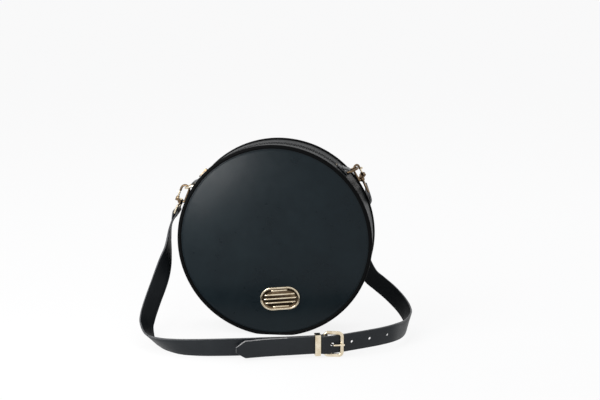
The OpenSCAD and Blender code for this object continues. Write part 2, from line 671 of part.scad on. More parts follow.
module gate_pin_shape(side) {
  color(gold) at_hook(side) translate([-hook_side, 0, gate_z]) rotate([90, 0, 0])
    cylinder(h = 2 * (gate_half_y + pin_play + ear_t), d = gate_pin_d, center = true, $fn = small_fn);
}
module left_gate_pin() { gate_pin_shape(-1); }
module right_gate_pin() { gate_pin_shape(1); }

// Swivel eye: a headed post through the collar and a flat loop for the strap
module eye_shape(side) {
  head_z = collar_z - pin_play - post_head_t;
  color(gold) at_eye(side) {
    translate([0, 0, head_z]) cylinder(h = post_head_t, r = post_head_r, $fn = small_fn);
    translate([0, 0, head_z]) cylinder(h = eye_z - head_z, d = post_d, $fn = small_fn);
    for (z = [eye_z, eye_out_z]) bar([0, -eye_half_w, z], [0, eye_half_w, z], eye_wire_d);
    for (k = [-1, 1]) {
      bar([0, k * eye_half_w, eye_z], [0, k * eye_half_w, eye_out_z], eye_wire_d);
      for (z = [eye_z, eye_out_z]) ball([0, k * eye_half_w, z], eye_wire_d);
    }
  }
}
module left_swivel_eye() { eye_shape(-1); }
module right_swivel_eye() { eye_shape(1); }

// A strap swept along its places. The floor flattens what would reach below it.
module strap(places, widths, tip) {
  p = smooth(places);
  w = smooth(widths);
  n = len(p);
  body_rings = [for (i = [0 : n - 1]) let (t = heading_at(p, i), a = square_to(unit(w[i]), t))
    [p[i], a, unit(cross(a, t)), 1]];
  tip_ring = [p[0] - heading_at(p, 0) * tip, body_rings[0][1], body_rings[0][2], tip_share];
  rings = tip > 0 ? concat([tip_ring], body_rings) : body_rings;
  corners = [for (r = rings) for (k = [[1, 1], [-1, 1], [-1, -1], [1, -1]])
    let (c = r[0] + r[2] * k[0] * strap_t / 2 + r[1] * k[1] * r[3] * strap_w / 2) [c[0], c[1], max(c[2], 0)]];
  m = len(rings);
  sides = [for (i = [0 : m - 2]) for (k = [0 : 3]) let (a = 4 * i + k, b = 4 * i + (k + 1) % 4)
    each [[a, a + 4, b + 4], [a, b + 4, b]]];
  last = 4 * (m - 1);
  caps = [[0, 1, 2], [0, 2, 3], [last + 3, last + 2, last + 1], [last + 3, last + 1, last]];
  polyhedron(points = corners, faces = concat(sides, caps), convexity = 10);
}
// The folded end of a strap round a bar: x across the fold, y along the bar, z away from the bar
module fold_profile(r, l, d) {
  difference() {
    union() {
      circle(r = r, $fn = small_fn);
      polygon([[-r, 0], [r, 0], [strap_t / 2, l], [-strap_t / 2, l]]);
    }
    circle(d = d + 2 * run_play, $fn = small_fn);
  }
}
module eye_fold(side) {
  at_eye(side) translate([0, 0, eye_out_z]) rotate([90, 0, 0]) linear_extrude(height = strap_w, center = true)
    fold_profile(eye_wrap_r, wedge_len, eye_wire_d);
}
module buckle_fold() {
  in_buckle() translate([-buckle_u, 0, 0]) difference() {
    rotate([0, 0, 90]) linear_extrude(height = strap_w, center = true)
      fold_profile(buckle_wrap_r, buckle_wedge, buckle_bar_d);
    translate([-buckle_bar_d / 2 - prong_d * 0.9 - run_play, -strap_w / 2, -slot_w / 2])
      cube([strap_w, strap_w, slot_w]);
  }
}
module left_strap() {
  color(leather_black) {
    strap(left_places, left_widths, 0);
    eye_fold(-1);
    buckle_fold();
  }
}

// A place along the strap, counted from one of its rings
function along(p, i, s) = let (l = norm(p[i + 1] - p[i])) s > l ? along(p, i + 1, s - l) : [i, s / l];
module strap_hole(s) {
  p = smooth(right_places);
  w = smooth(right_widths);
  f = along(p, first_hole_place * route_steps, s);
  i = f[0];
  t = unit(p[i + 1] - p[i]);
  a = square_to(unit(w[i]), t);
  in_axes(t, a, cross(t, a), p[i] + (p[i + 1] - p[i]) * f[1])
    cylinder(h = strap_t * 3, d = hole_d, center = true, $fn = small_fn);
}
module right_strap() {
  color(leather_black) {
    difference() {
      strap(right_places, right_widths, tip_len);
      for (k = [0 : 3]) strap_hole(k * hole_distance);
    }
    eye_fold(1);
  }
}

// Buckle, prong and keeper in the buckle's axes
module buckle_frame() {
  color(gold) in_buckle() {
    for (e = [[-buckle_u, 0], [buckle_u, buckle_rise]]) {
      bar([e[0], e[1], -buckle_side_v], [e[0], e[1], buckle_side_v], buckle_bar_d);
      for (k = [-1, 1]) corner([e[0], e[1], k * buckle_side_v], buckle_bar_d);
    }
    for (k = [-1, 1])
      bar([-buckle_u, 0, k * buckle_side_v], [buckle_u, buckle_rise, k * buckle_side_v], buckle_bar_d);
  }
}
module buckle_prong() {
  top_n = buckle_rise + buckle_bar_d / 2 + prong_d / 2 + seam_play;
  stops = [[-buckle_u, 0], [prong_u - prong_d, prong_d * 0.3], [prong_u + prong_d * 0.8, top_n],
           [buckle_u + prong_d, top_n]];
  color(gold) in_buckle() difference() {
    union() {
      translate([-buckle_u, 0, 0])
        cylinder(h = prong_d, d = buckle_bar_d + prong_d * 1.8, center = true, $fn = small_fn);
      for (i = [0 : 2])
        bar([stops[i][0], stops[i][1], 0], [stops[i + 1][0], stops[i + 1][1], 0], prong_d);
      for (i = [1 : 3]) corner([stops[i][0], stops[i][1], 0], prong_d);
    }
    translate([-buckle_u, 0, 0])
      cylinder(h = strap_w, d = buckle_bar_d + 2 * pin_play, center = true, $fn = small_fn);
  }
}
module strap_keeper() {
  low = strap_t / 2 + run_play * 2;
  high = tail_n + layer_gap * 2 + strap_t / 2 + run_play * 2;
  half_v = strap_w / 2 + run_play * 2;
  color(gold) in_buckle() translate([keeper_u, 0, 0]) difference() {
    translate([-keeper_w / 2, -low - keeper_t, -half_v - keeper_t])
      cube([keeper_w, low + high + 2 * keeper_t, 2 * (half_v + keeper_t)]);
    translate([-keeper_w / 2 - over, -low, -half_v]) cube([keeper_w + 2 * over, low + high, 2 * half_v]);
  }
}

// Badge: a plaque with round ends, a raised rim and raised bars in its field
module badge_outline(inset) {
  r = badge_h / 2 - inset;
  x = (badge_l - badge_h) / 2;
  for (k = [-1, 1]) translate([k * x, 0]) circle(r = r, $fn = big_fn);
  translate([-x, -r]) square([2 * x, 2 * r]);
}
module badge() {
  field_t = badge_t * 0.55;
  bars = 5;
  field_h = badge_h - 4 * badge_rim;
  back_y = panel_y + seam_play / 2;
  color(gold) on_roll() translate([0, -back_y, -badge_drop]) rotate([90, 0, 0]) {
    linear_extrude(height = field_t) badge_outline(0);
    linear_extrude(height = badge_t) difference() {
      badge_outline(0);
      badge_outline(badge_rim);
    }
    for (i = [0 : bars - 1])
      let (y = (i / (bars - 1) - 0.5) * field_h, l = sqrt(pow(badge_h / 2 - 2 * badge_rim, 2) - y * y))
        translate([0, y, field_t]) rotate([0, 90, 0])
          cylinder(h = badge_l - badge_h + 2 * l, d = badge_rim * 0.7, center = true, $fn = small_fn);
    for (k = [-1, 1]) translate([k * badge_l / 4, 0, -back_y + washer_y - washer_t])
      cylinder(h = back_y - washer_y + washer_t + field_t / 2, d = badge_post_d, $fn = small_fn);
  }
}
module badge_washers() {
  color(gold) on_roll() for (k = [-1, 1]) translate([k * badge_l / 4, -washer_y, -badge_drop]) rotate([-90, 0, 0])
    difference() {
      cylinder(h = washer_t, r = badge_post_d * 1.6, $fn = small_fn);
      translate([0, 0, -over]) cylinder(h = washer_t + 2 * over, d = badge_post_d + 2 * pin_play, $fn = small_fn);
    }
}

front_panel();
front_panel_mouth();
back_panel();
front_piping();
front_piping_mouth();
back_piping();
base_gusset();
gusset_lining();
front_zip_facing();
front_facing_ends();
back_zip_facing();
front_zip_tape();
front_tape_ends();
back_zip_tape();
front_zip_teeth();
front_teeth_ends();
back_zip_teeth();
zip_stops();
zip_slider();
zip_pull();
front_stiffener();
front_stiffener_mouth();
back_stiffener();
front_lining();
front_lining_mouth();
back_lining();
left_tab();
right_tab();
left_ring();
right_ring();
left_hook();
right_hook();
left_gate();
right_gate();
left_gate_pin();
right_gate_pin();
left_swivel_eye();
right_swivel_eye();
left_strap();
right_strap();
buckle_frame();
buckle_prong();
strap_keeper();
badge();
badge_washers();
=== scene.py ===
"""Looks of a round leather shoulder bag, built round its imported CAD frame.

Everything is in metres in the frame's own axes: X to the right, Y from the front face to the
back, Z up from the floor. Angles on the bag are counted from its top, positive to the right.
"""

import logging
import math
from dataclasses import dataclass, field
from enum import Enum
from typing import Callable, Optional, Sequence, Union

import bmesh
import bpy
import numpy as np
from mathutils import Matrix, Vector


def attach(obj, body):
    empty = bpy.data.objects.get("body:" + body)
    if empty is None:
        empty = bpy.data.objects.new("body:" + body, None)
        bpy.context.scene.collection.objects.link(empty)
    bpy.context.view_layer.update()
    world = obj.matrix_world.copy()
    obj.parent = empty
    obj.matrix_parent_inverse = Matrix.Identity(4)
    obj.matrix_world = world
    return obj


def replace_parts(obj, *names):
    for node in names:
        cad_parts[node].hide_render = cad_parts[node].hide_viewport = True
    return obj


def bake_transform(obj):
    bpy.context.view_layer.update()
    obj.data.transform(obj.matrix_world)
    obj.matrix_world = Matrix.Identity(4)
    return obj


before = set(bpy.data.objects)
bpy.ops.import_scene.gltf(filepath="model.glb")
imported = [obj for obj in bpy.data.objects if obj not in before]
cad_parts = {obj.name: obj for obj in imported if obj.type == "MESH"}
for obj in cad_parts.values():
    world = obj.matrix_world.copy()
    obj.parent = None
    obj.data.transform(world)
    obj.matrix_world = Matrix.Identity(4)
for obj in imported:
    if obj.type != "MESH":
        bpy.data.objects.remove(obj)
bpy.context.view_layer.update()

log = logging.getLogger("bag")
MM = 0.001

Number = Union[float, "Value"]
Rgb = tuple[float, float, float]
Stretch = tuple[float, float, float]


# Shader nodes


class Value:
    """A number that varies over a surface, with the usual operators."""

    def __init__(self, nodes: "Nodes", socket: bpy.types.NodeSocket) -> None:
        """Wraps an output socket of one of the material's nodes."""
        self.nodes = nodes
        self.socket = socket

    def _math(self, operation: str, *numbers: Number) -> "Value":
        """Adds one Math node.

        Args:
            operation: The Math node's operation.
            *numbers: Its inputs in order.

        Returns:
            The node's result.
        """
        inputs = dict(enumerate(numbers))
        return self.nodes.value("ShaderNodeMath", {"operation": operation}, inputs, "Value")

    def __add__(self, other: Number) -> "Value":
        """self + other."""
        return self._math("ADD", self, other)

    def __radd__(self, other: Number) -> "Value":
        """other + self."""
        return self._math("ADD", other, self)

    def __sub__(self, other: Number) -> "Value":
        """self - other."""
        return self._math("SUBTRACT", self, other)

    def __rsub__(self, other: Number) -> "Value":
        """other - self."""
        return self._math("SUBTRACT", other, self)

    def __mul__(self, other: Number) -> "Value":
        """self * other."""
        return self._math("MULTIPLY", self, other)

    def __rmul__(self, other: Number) -> "Value":
        """other * self."""
        return self._math("MULTIPLY", other, self)

    def sine(self) -> "Value":
        """The sine of self."""
        return self._math("SINE", self)

    def step(self, low: float, high: float) -> "Value":
        """Goes smoothly from 0 to 1.

        Args:
            low: Where it leaves 0.
            high: Where it reaches 1.

        Returns:
            The smooth step.
        """
        settings = {"interpolation_type": "SMOOTHSTEP"}
        return self.nodes.value(
            "ShaderNodeMapRange", settings, {"Value": self, "From Min": low, "From Max": high}, "Result"
        )


class Nodes:
    """Builds the node tree of one material or world."""

    def __init__(self, owner: Union[bpy.types.Material, bpy.types.World]) -> None:
        """Empties the owner's node tree.

        Args:
            owner: The material or world.
        """
        owner.use_nodes = True
        self.tree = owner.node_tree
        self.tree.nodes.clear()

    def add(
        self, kind: str, settings: Optional[dict] = None, inputs: Optional[dict] = None
    ) -> bpy.types.Node:
        """Adds a node.

        Args:
            kind: The node's type.
            settings: Its own settings, which are set first.
            inputs: Values or links by the name or number of the socket.

        Returns:
            The new node.
        """
        node = self.tree.nodes.new(kind)
        for name, setting in (settings or {}).items():
            setattr(node, name, setting)
        for name, given in (inputs or {}).items():
            socket = node.inputs[name]
            if isinstance(given, Value):
                self.tree.links.new(given.socket, socket)
            elif isinstance(given, bpy.types.NodeSocket):
                self.tree.links.new(given, socket)
            elif socket.type == "RGBA" and len(given) == 3:
                socket.default_value = (*given, 1)
            else:
                socket.default_value = given
        return node

    def value(self, kind: str, settings: dict, inputs: dict, output: str) -> Value:
        """Adds a node and returns one of its outputs as a value."""
        return Value(self, self.add(kind, settings, inputs).outputs[output])

    def place(self) -> bpy.types.NodeSocket:
        """The place on the object, in metres."""
        return self.add("ShaderNodeTexCoord").outputs["Object"]

    def along(self) -> tuple[Value, Value, Value]:
        """The place's X, Y and Z as values."""
        parts = self.add("ShaderNodeSeparateXYZ", inputs={"Vector": self.place()})
        return tuple(Value(self, parts.outputs[axis]) for axis in "XYZ")

    def noise(
        self, size: float, detail: float = 3, roughness: float = 0.5, stretch: Stretch = (1, 1, 1)
    ) -> Value:
        """Soft noise.

        Args:
            size: Size of its features, in metres.
            detail: Finer layers.
            roughness: Strength of the finer layers.
            stretch: How much finer it is along each axis.

        Returns:
            Noise from 0 to 1.
        """
        factors = tuple(s / size for s in stretch)
        scaled = self.add("ShaderNodeVectorMath", {"operation": "MULTIPLY"}, {0: self.place(), 1: factors})
        inputs = {"Vector": scaled.outputs[0], "Scale": 1.0, "Detail": detail, "Roughness": roughness}
        return self.value("ShaderNodeTexNoise", {}, inputs, "Fac")

    def cells(self, size: float) -> Value:
        """Distance to the edges of a pattern of cells of the given size."""
        inputs = {"Vector": self.place(), "Scale": 1 / size}
        return self.value("ShaderNodeTexVoronoi", {"feature": "DISTANCE_TO_EDGE"}, inputs, "Distance")

    def mix(self, factor: Value, first: Rgb, second: Rgb) -> bpy.types.NodeSocket:
        """A colour between first and second."""
        inputs = {0: factor, 6: first, 7: second}
        return self.add("ShaderNodeMix", {"data_type": "RGBA"}, inputs).outputs[2]

    def bump(self, height: Value, depth: float, strength: float) -> bpy.types.NodeSocket:
        """A normal from a height from 0 to 1 that stands for depth metres."""
        inputs = {"Height": height, "Distance": depth, "Strength": strength}
        return self.add("ShaderNodeBump", inputs=inputs).outputs["Normal"]

    def surface(self, **inputs: object) -> None:
        """Ends the material in a Principled shader, its sockets named with _ for a space."""
        named = {name.replace("_", " "): given for name, given in inputs.items()}
        shader = self.add("ShaderNodeBsdfPrincipled", inputs=named)
        self.end(shader.outputs["BSDF"])

    def end(self, shader: bpy.types.NodeSocket) -> None:
        """Ends the material in the given shader."""
        self.add("ShaderNodeOutputMaterial", inputs={"Surface": shader})


# Finishes


class Finish:
    """A named material, built once."""

    name: str

    def dress(self, nodes: Nodes) -> None:
        """Fills the material's nodes."""
        raise NotImplementedError

    def material(self) -> bpy.types.Material:
        """The finish's material.

        Returns:
            The material, made and dressed at its first use. A finish takes a name of its own, apart
            from those of the record's slots, whose plain materials are in the file already.
        """
        found = bpy.data.materials.get(self.name)
        if found is None:
            found = bpy.data.materials.new(self.name)
            self.dress(Nodes(found))
        return found


@dataclass(frozen=True)
class Leather(Finish):
    """Smooth dyed leather with a fine grain and a soft, uneven sheen."""

    name: str
    dark: Rgb
    light: Rgb
    gloss: float
    shine: float
    grain: float = 0.9 * MM
    grain_depth: float = 0.035 * MM

    def dress(self, nodes: Nodes) -> None:
        """Mottles the dye and the sheen, and lays the grain's creases over pores.

        Args:
            nodes: The material's node tree.
        """
        mottle = nodes.noise(45 * MM, 4, 0.55)
        worn = nodes.noise(9 * MM, 3, 0.6)
        creases = nodes.cells(self.grain).step(0.0, 0.22)
        pores = nodes.noise(self.grain / 3, 2, 0.6)
        tone = (mottle * 0.75 + worn * 0.25).step(0.32, 0.68)
        height = creases * 0.7 + pores * 0.3
        nodes.surface(
            Base_Color=nodes.mix(tone, self.dark, self.light),
            Roughness=self.gloss + (worn - 0.5) * 0.12 + (mottle - 0.5) * 0.16,
            Specular_IOR_Level=self.shine,
            Normal=nodes.bump(height, self.grain_depth, 0.6),
        )


@dataclass(frozen=True)
class CutEdge(Finish):
    """The painted and rubbed edge of cut leather."""

    name: str
    paint: Rgb
    rubbed: Rgb

    def dress(self, nodes: Nodes) -> None:
        """Shows fibres where the paint is rubbed thin.

        Args:
            nodes: The material's node tree.
        """
        thin = nodes.noise(4 * MM, 4, 0.65)
        fibres = nodes.noise(0.4 * MM, 3, 0.7)
        nodes.surface(
            Base_Color=nodes.mix((thin * 0.6 + fibres * 0.4).step(0.35, 0.7), self.paint, self.rubbed),
            Roughness=0.42 + (fibres - 0.5) * 0.2,
            Specular_IOR_Level=0.45,
            Normal=nodes.bump(fibres, 0.06 * MM, 0.7),
        )


class Polish(Enum):
    """How finely a metal piece is finished."""

    BRIGHT = 0.16
    SATIN = 0.34


@dataclass(frozen=True)
class PlatedMetal(Finish):
    """Light gold plating with hairline scratches and duller spots."""

    name: str
    bright: Rgb
    deep: Rgb
    polish: Polish

    def dress(self, nodes: Nodes) -> None:
        """Varies the plating's tone and roughness, and scratches it.

        Args:
            nodes: The material's node tree.
        """
        haze = nodes.noise(6 * MM, 4, 0.6)
        hairs = nodes.noise(1.2 * MM, 2, 0.7, (0.25, 1, 2.5))
        nodes.surface(
            Base_Color=nodes.mix((haze * 0.7 + hairs * 0.3).step(0.3, 0.7), self.bright, self.deep),
            Metallic=1.0,
            Roughness=self.polish.value + (haze - 0.5) * 0.14 + (hairs - 0.5) * 0.08,
            Normal=nodes.bump(hairs, 0.012 * MM, 0.35),
        )


@dataclass(frozen=True)
class Weave(Finish):
    """Woven cloth or tape, its threads along the object's axes."""

    name: str
    thread: Rgb
    gap: Rgb
    pitch: float
    roughness: float = 0.85

    def dress(self, nodes: Nodes) -> None:
        """Crosses two sets of threads.

        Args:
            nodes: The material's node tree.
        """
        x, y, z = nodes.along()
        turns = 2 * math.pi / self.pitch
        over = (x * turns).sine() * (y * turns + z * turns).sine()
        fuzz = nodes.noise(self.pitch * 0.4, 3, 0.7)
        height = over * 0.35 + 0.5 + (fuzz - 0.5) * 0.3
        nodes.surface(
            Base_Color=nodes.mix(height.step(0.2, 0.8), self.gap, self.thread),
            Roughness=self.roughness + (fuzz - 0.5) * 0.1,
            Specular_IOR_Level=0.2,
            Normal=nodes.bump(height, self.pitch * 0.3, 0.8),
        )


@dataclass(frozen=True)
class Thread(Finish):
    """Twisted, waxed sewing thread."""

    name: str
    colour: Rgb
    worn: Rgb

    def dress(self, nodes: Nodes) -> None:
        """Twists the strands across the thread.

        Args:
            nodes: The material's node tree.
        """
        x, y, z = nodes.along()
        twist = ((x + y + z) * (2 * math.pi / (0.45 * MM))).sine() * 0.5 + 0.5
        fuzz = nodes.noise(0.3 * MM, 2, 0.7)
        nodes.surface(
            Base_Color=nodes.mix(twist * 0.6 + fuzz * 0.4, self.colour, self.worn),
            Roughness=0.55 + (fuzz - 0.5) * 0.2,
            Specular_IOR_Level=0.35,
            Normal=nodes.bump(twist, 0.05 * MM, 0.6),
        )


@dataclass(frozen=True)
class Moulded(Finish):
    """Pressed board or moulded nylon."""

    name: str
    colour: Rgb
    fleck: Rgb
    roughness: float
    fleck_size: float

    def dress(self, nodes: Nodes) -> None:
        """Flecks the surface.

        Args:
            nodes: The material's node tree.
        """
        flecks = nodes.noise(self.fleck_size, 4, 0.7)
        nodes.surface(
            Base_Color=nodes.mix(flecks.step(0.35, 0.7), self.colour, self.fleck),
            Roughness=self.roughness + (flecks - 0.5) * 0.15,
            Specular_IOR_Level=0.35,
            Normal=nodes.bump(flecks, self.fleck_size * 0.1, 0.5),
        )


SHELL = Leather("shell_calf", (0.0025, 0.0070, 0.0100), (0.0045, 0.0105, 0.0140), 0.30, 0.17)
BAND = Leather("band_calf", (0.0040, 0.0055, 0.0065), (0.0080, 0.0100, 0.0115), 0.42, 0.09)
PIPING = Leather("piping_calf", (0.0012, 0.0013, 0.0015), (0.0022, 0.0024, 0.0027), 0.55, 0.05)
STRAP = Leather("strap_calf", (0.0070, 0.0095, 0.0120), (0.0120, 0.0150, 0.0180), 0.42, 0.26)
# The strap's back: a duller leather, its colour darkened further by painted shade.
STRAP_BACK_SHADED = Leather("strap_back_shaded_calf", (0.0040, 0.0050, 0.0060), (0.0075, 0.0090, 0.0105), 0.50, 0.10)
EDGE = CutEdge("strap_edge", (0.030, 0.032, 0.036), (0.085, 0.088, 0.092))
# Painted highlight: the pointed tip's cut edges are drawn far paler than the others, as if catching the
# light.
TIP_EDGE_HIGHLIGHT = CutEdge("strap_tip_edge_highlight", (0.16, 0.16, 0.165), (0.36, 0.355, 0.35))
THREAD = Thread("sewing_thread", (0.010, 0.010, 0.011), (0.030, 0.030, 0.032))
LINING = Weave("lining_twill", (0.050, 0.048, 0.050), (0.016, 0.015, 0.016), 0.7 * MM)
TAPE = Weave("zip_tape_weave", (0.018, 0.018, 0.020), (0.006, 0.006, 0.007), 0.6 * MM)
NYLON = Moulded("zip_nylon", (0.012, 0.012, 0.013), (0.022, 0.022, 0.024), 0.38, 0.8 * MM)
BOARD = Moulded("pressed_board", (0.20, 0.17, 0.13), (0.32, 0.28, 0.22), 0.85, 1.5 * MM)
GOLD = PlatedMetal("light_gold", (0.86, 0.78, 0.62), (0.62, 0.51, 0.35), Polish.BRIGHT)
GOLD_SATIN = PlatedMetal("light_gold_satin", (0.40, 0.32, 0.20), (0.22, 0.16, 0.09), Polish.SATIN)
# Painted shade and dark reflection: a darkened copy of the light gold plating, for hooks and rings seen in
# shade and for the badge's sunken field.
GOLD_SHADED = PlatedMetal("shaded_gold", (0.24, 0.17, 0.10), (0.07, 0.045, 0.028), Polish.BRIGHT)


# Meshes


class Form:
    """Gathers the vertices and faces of one piece, each face with its finish."""

    def __init__(self, *finishes: Finish) -> None:
        """Starts an empty piece with the finishes that its faces count from 0."""
        self.finishes = finishes
        self.places: list[np.ndarray] = []
        self.faces: list[tuple[int, ...]] = []
        self.kinds: list[int] = []
        self.count = 0

    def add(
        self, places: np.ndarray, faces: Sequence[Sequence[int]], kinds: Union[int, Sequence[int]] = 0
    ) -> None:
        """Adds loose geometry.

        Args:
            places: One row for each vertex.
            faces: Vertex numbers, counted from this call's first vertex.
            kinds: The number of the finish, one for all faces or one for each.
        """
        places = np.asarray(places, float).reshape(-1, 3)
        self.places.append(places)
        self.faces += [tuple(int(i) + self.count for i in face) for face in faces]
        self.kinds += [kinds] * len(faces) if isinstance(kinds, int) else list(kinds)
        self.count += len(places)

    def add_tube(self, rings: Sequence[np.ndarray], kind: int = 0) -> None:
        """Adds a solid tube through rings of points, closed at both ends.

        Args:
            rings: The rings in order, each with as many points.
            kind: The number of the finish.
        """
        n = len(rings[0])
        last = (len(rings) - 1) * n
        faces = [*grid_faces(len(rings), n, False, True), range(n), range(last, last + n)]
        self.add(np.concatenate(rings), faces, kind)

    def build(self, name: str, slot: str, sharp: float = 40.0) -> bpy.types.Object:
        """Makes the object.

        Args:
            name: The piece's name.
            slot: The record's material slot; not used.
            sharp: Angle in degrees beyond which an edge shows as sharp.

        Returns:
            The new object, which rides on nothing yet.
        """
        mesh = bpy.data.meshes.new(name)
        mesh.from_pydata(np.concatenate(self.places).tolist(), [], self.faces)
        for finish in self.finishes:
            mesh.materials.append(finish.material())
        mesh.polygons.foreach_set("material_index", self.kinds)
        grid = bmesh.new()
        grid.from_mesh(mesh)
        bmesh.ops.recalc_face_normals(grid, faces=grid.faces)
        grid.to_mesh(mesh)
        grid.free()
        mesh.polygons.foreach_set("use_smooth", [True] * len(mesh.polygons))
        mesh.set_sharp_from_angle(angle=math.radians(sharp))
        piece = bpy.data.objects.new(name, mesh)
        bpy.context.scene.collection.objects.link(piece)
        return piece


def grid_faces(
    rows: int, columns: int, rows_close: bool, columns_close: bool
) -> list[tuple[int, int, int, int]]:
    """Faces of a grid of vertices that may close on itself either way.

    Args:
        rows: Number of rows.
        columns: Number of columns.
        rows_close: Whether the last row joins the first.
        columns_close: Whether the last column joins the first.

    Returns:
        One face for each cell, row by row.
    """
    return [
        (
            i * columns + j,
            (i + 1) % rows * columns + j,
            (i + 1) % rows * columns + (j + 1) % columns,
            i * columns + (j + 1) % columns,
        )
        for i in range(rows if rows_close else rows - 1)
        for j in range(columns if columns_close else columns - 1)
    ]


def unit(v: np.ndarray) -> np.ndarray:
    """Vectors of length one."""
    v = np.asarray(v, float)
    return v / np.linalg.norm(v, axis=-1, keepdims=True)


def turned(start: float, end: float, steps: int) -> np.ndarray:
    """Points of an arc of radius one, from start to end in degrees."""
    a = np.radians(np.linspace(start, end, steps + 1))
    return np.stack([np.cos(a), np.sin(a)], -1)


def soft_box(
    low: tuple[float, float], high: tuple[float, float], corner: float, across: int = 2
) -> np.ndarray:
    """A closed outline: a box with round corners.

    Args:
        low: Lowest corner.
        high: Highest corner.
        corner: Radius of the corners.
        across: Pieces that each straight side is cut into.

    Returns:
        Points of the outline in order.
    """
    left, right = low[0] + corner, high[0] - corner
    bottom, top = low[1] + corner, high[1] - corner
    centres = [(right, top), (left, top), (left, bottom), (right, bottom)]
    corners = [np.array(c) + turned(90 * k, 90 * k + 90, 3) * corner for k, c in enumerate(centres)]
    points = []
    for k in range(4):
        points.append(corners[k])
        start, end = corners[k][-1], corners[(k + 1) % 4][0]
        side = [start + (end - start) * t for t in np.linspace(0, 1, across + 1)[1:-1]]
        points.append(np.array(side).reshape(-1, 2))
    return np.concatenate(points)


def smooth_path(points: Sequence[np.ndarray], steps: int) -> np.ndarray:
    """A soft curve through points.

    Args:
        points: The points in order.
        steps: Places from one point to the next.

    Returns:
        Places on the curve, the given points among them.
    """
    p = np.array(points, float)
    q = np.concatenate([[2 * p[0] - p[1]], p, [2 * p[-1] - p[-2]]])
    a, b, c, d = q[:-3, None], q[1:-2, None], q[2:-1, None], q[3:, None]
    t = np.linspace(0, 1, steps, endpoint=False)[None, :, None]
    curve = 0.5 * (2 * b + (c - a) * t + (2 * a - 5 * b + 4 * c - d) * t**2 + (3 * b - a - 3 * c + d) * t**3)
    return np.concatenate([curve.reshape(-1, p.shape[1]), p[-1:]])


def headings(path: np.ndarray) -> np.ndarray:
    """Unit directions along a path."""
    ends = np.concatenate([path[1:], path[-1:]]) - np.concatenate([path[:1], path[:-1]])
    return unit(ends)


def ripple(u: np.ndarray, v: np.ndarray, seed: float) -> np.ndarray:
    """A soft unevenness over two directions.

    Args:
        u: First direction.
        v: Second direction.
        seed: Where its waves start.

    Returns:
        A share from -1 to 1 at each place, the same for the same seed.
    """
    waves = [(1.0, 0.7, 0.0), (0.6, -1.3, 1.9), (1.7, 0.4, 4.1), (-0.5, 2.1, 2.7)]
    return sum(np.sin(a * u + b * v + c + seed * (i + 1.3)) for i, (a, b, c) in enumerate(waves)) / len(waves)


class Stitching:
    """Rows of stitches, each a small round capsule half sunk in the leather."""

    sides: int = 6
    arch: tuple[tuple[float, float, float], ...] = (
        (0, 0.35, -0.7), (0.16, 0.9, 0.1), (0.5, 1.0, 0.45), (0.84, 0.9, 0.1), (1, 0.35, -0.7),
    )

    def __init__(self, length: float = 2.3 * MM, pitch: float = 3.3 * MM, radius: float = 0.26 * MM) -> None:
        """Sets the sizes of a row.

        Args:
            length: Length of a stitch.
            pitch: Distance from stitch to stitch.
            radius: The thread's radius.
        """
        self.length = length
        self.pitch = pitch
        self.radius = radius

    def sew(self, form: Form, path: np.ndarray, normals: np.ndarray, kind: int) -> None:
        """Sews a row of stitches.

        Args:
            form: The piece that they are sewn in.
            path: Places on the surface that the row follows.
            normals: The surface's normal at each place.
            kind: The number of the thread's finish.
        """
        run = np.concatenate([[0], np.cumsum(np.linalg.norm(np.diff(path, axis=0), axis=1))])
        number = max(1, int(run[-1] / self.pitch))
        for k in range(number):
            middle = (k + 0.5) * run[-1] / number
            ends = [self._at(run, path, middle + s * self.length / 2) for s in (-1, 1)]
            out = unit(self._at(run, normals, middle))
            self._stitch(form, ends[0], ends[1], out, kind)

    @staticmethod
    def _at(run: np.ndarray, rows: np.ndarray, s: float) -> np.ndarray:
        """The row's value at a length along the run."""
        return np.array([np.interp(s, run, rows[:, k]) for k in range(3)])

    def _stitch(self, form: Form, start: np.ndarray, end: np.ndarray, out: np.ndarray, kind: int) -> None:
        """Adds one stitch, arched out of the surface.

        Args:
            form: The piece that it is sewn in.
            start: Where it comes out.
            end: Where it goes in.
            out: The surface's normal.
            kind: The number of the thread's finish.
        """
        t = unit(end - start)
        side = np.cross(t, out)
        a = np.linspace(0, 2 * math.pi, self.sides, endpoint=False)[:, None]
        rings = []
        for share, size, rise in self.arch:
            centre = start + (end - start) * share + out * self.radius * rise
            rings.append(centre + (np.cos(a) * side + np.sin(a) * out) * self.radius * size)
        form.add_tube(rings, kind)


# The bag


@dataclass
class BagShape:
    """Sizes that the shell, the zip and the tabs share."""

    roll: float = math.radians(6)
    centre_z: float = 98.1 * MM
    band_r: float = 98.6 * MM
    leather: float = 1.4 * MM
    band_y: float = 21.9 * MM
    zip_gap: float = 3.5 * MM
    zip_end: float = 45.832
    chord_z: float = 78.266 * MM
    half_depth: float = 26 * MM
    fold_below: float = 1.2 * MM
    fold_above: float = 6 * MM

    def place(self, angle: np.ndarray, radius: np.ndarray, y: np.ndarray) -> np.ndarray:
        """Places on the bag.

        Args:
            angle: Degrees from the bag's top.
            radius: Distance from its axis.
            y: Depth.

        Returns:
            One row of X, Y and Z for each, none below the floor.
        """
        a = np.radians(angle) - self.roll
        angle, radius, y = np.broadcast_arrays(a, radius, y)
        z = radius * np.cos(angle) + self.centre_z
        return np.stack([radius * np.sin(angle), y, np.maximum(z, 0)], -1)

    def out(self, angle: np.ndarray) -> np.ndarray:
        """Directions away from the bag's axis."""
        a = np.radians(np.asarray(angle, float)) - self.roll
        return np.stack([np.sin(a), np.zeros_like(a), np.cos(a)], -1)

    def fold(self, piece: bpy.types.Object) -> bpy.types.Object:
        """Bakes a front piece's place into its mesh.

        Args:
            piece: The piece, its mesh final.

        Returns:
            The same piece.
        """
        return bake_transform(piece)


class Side(Enum):
    """Front or back of the bag, and the sign of its depth."""

    FRONT = -1
    BACK = 1


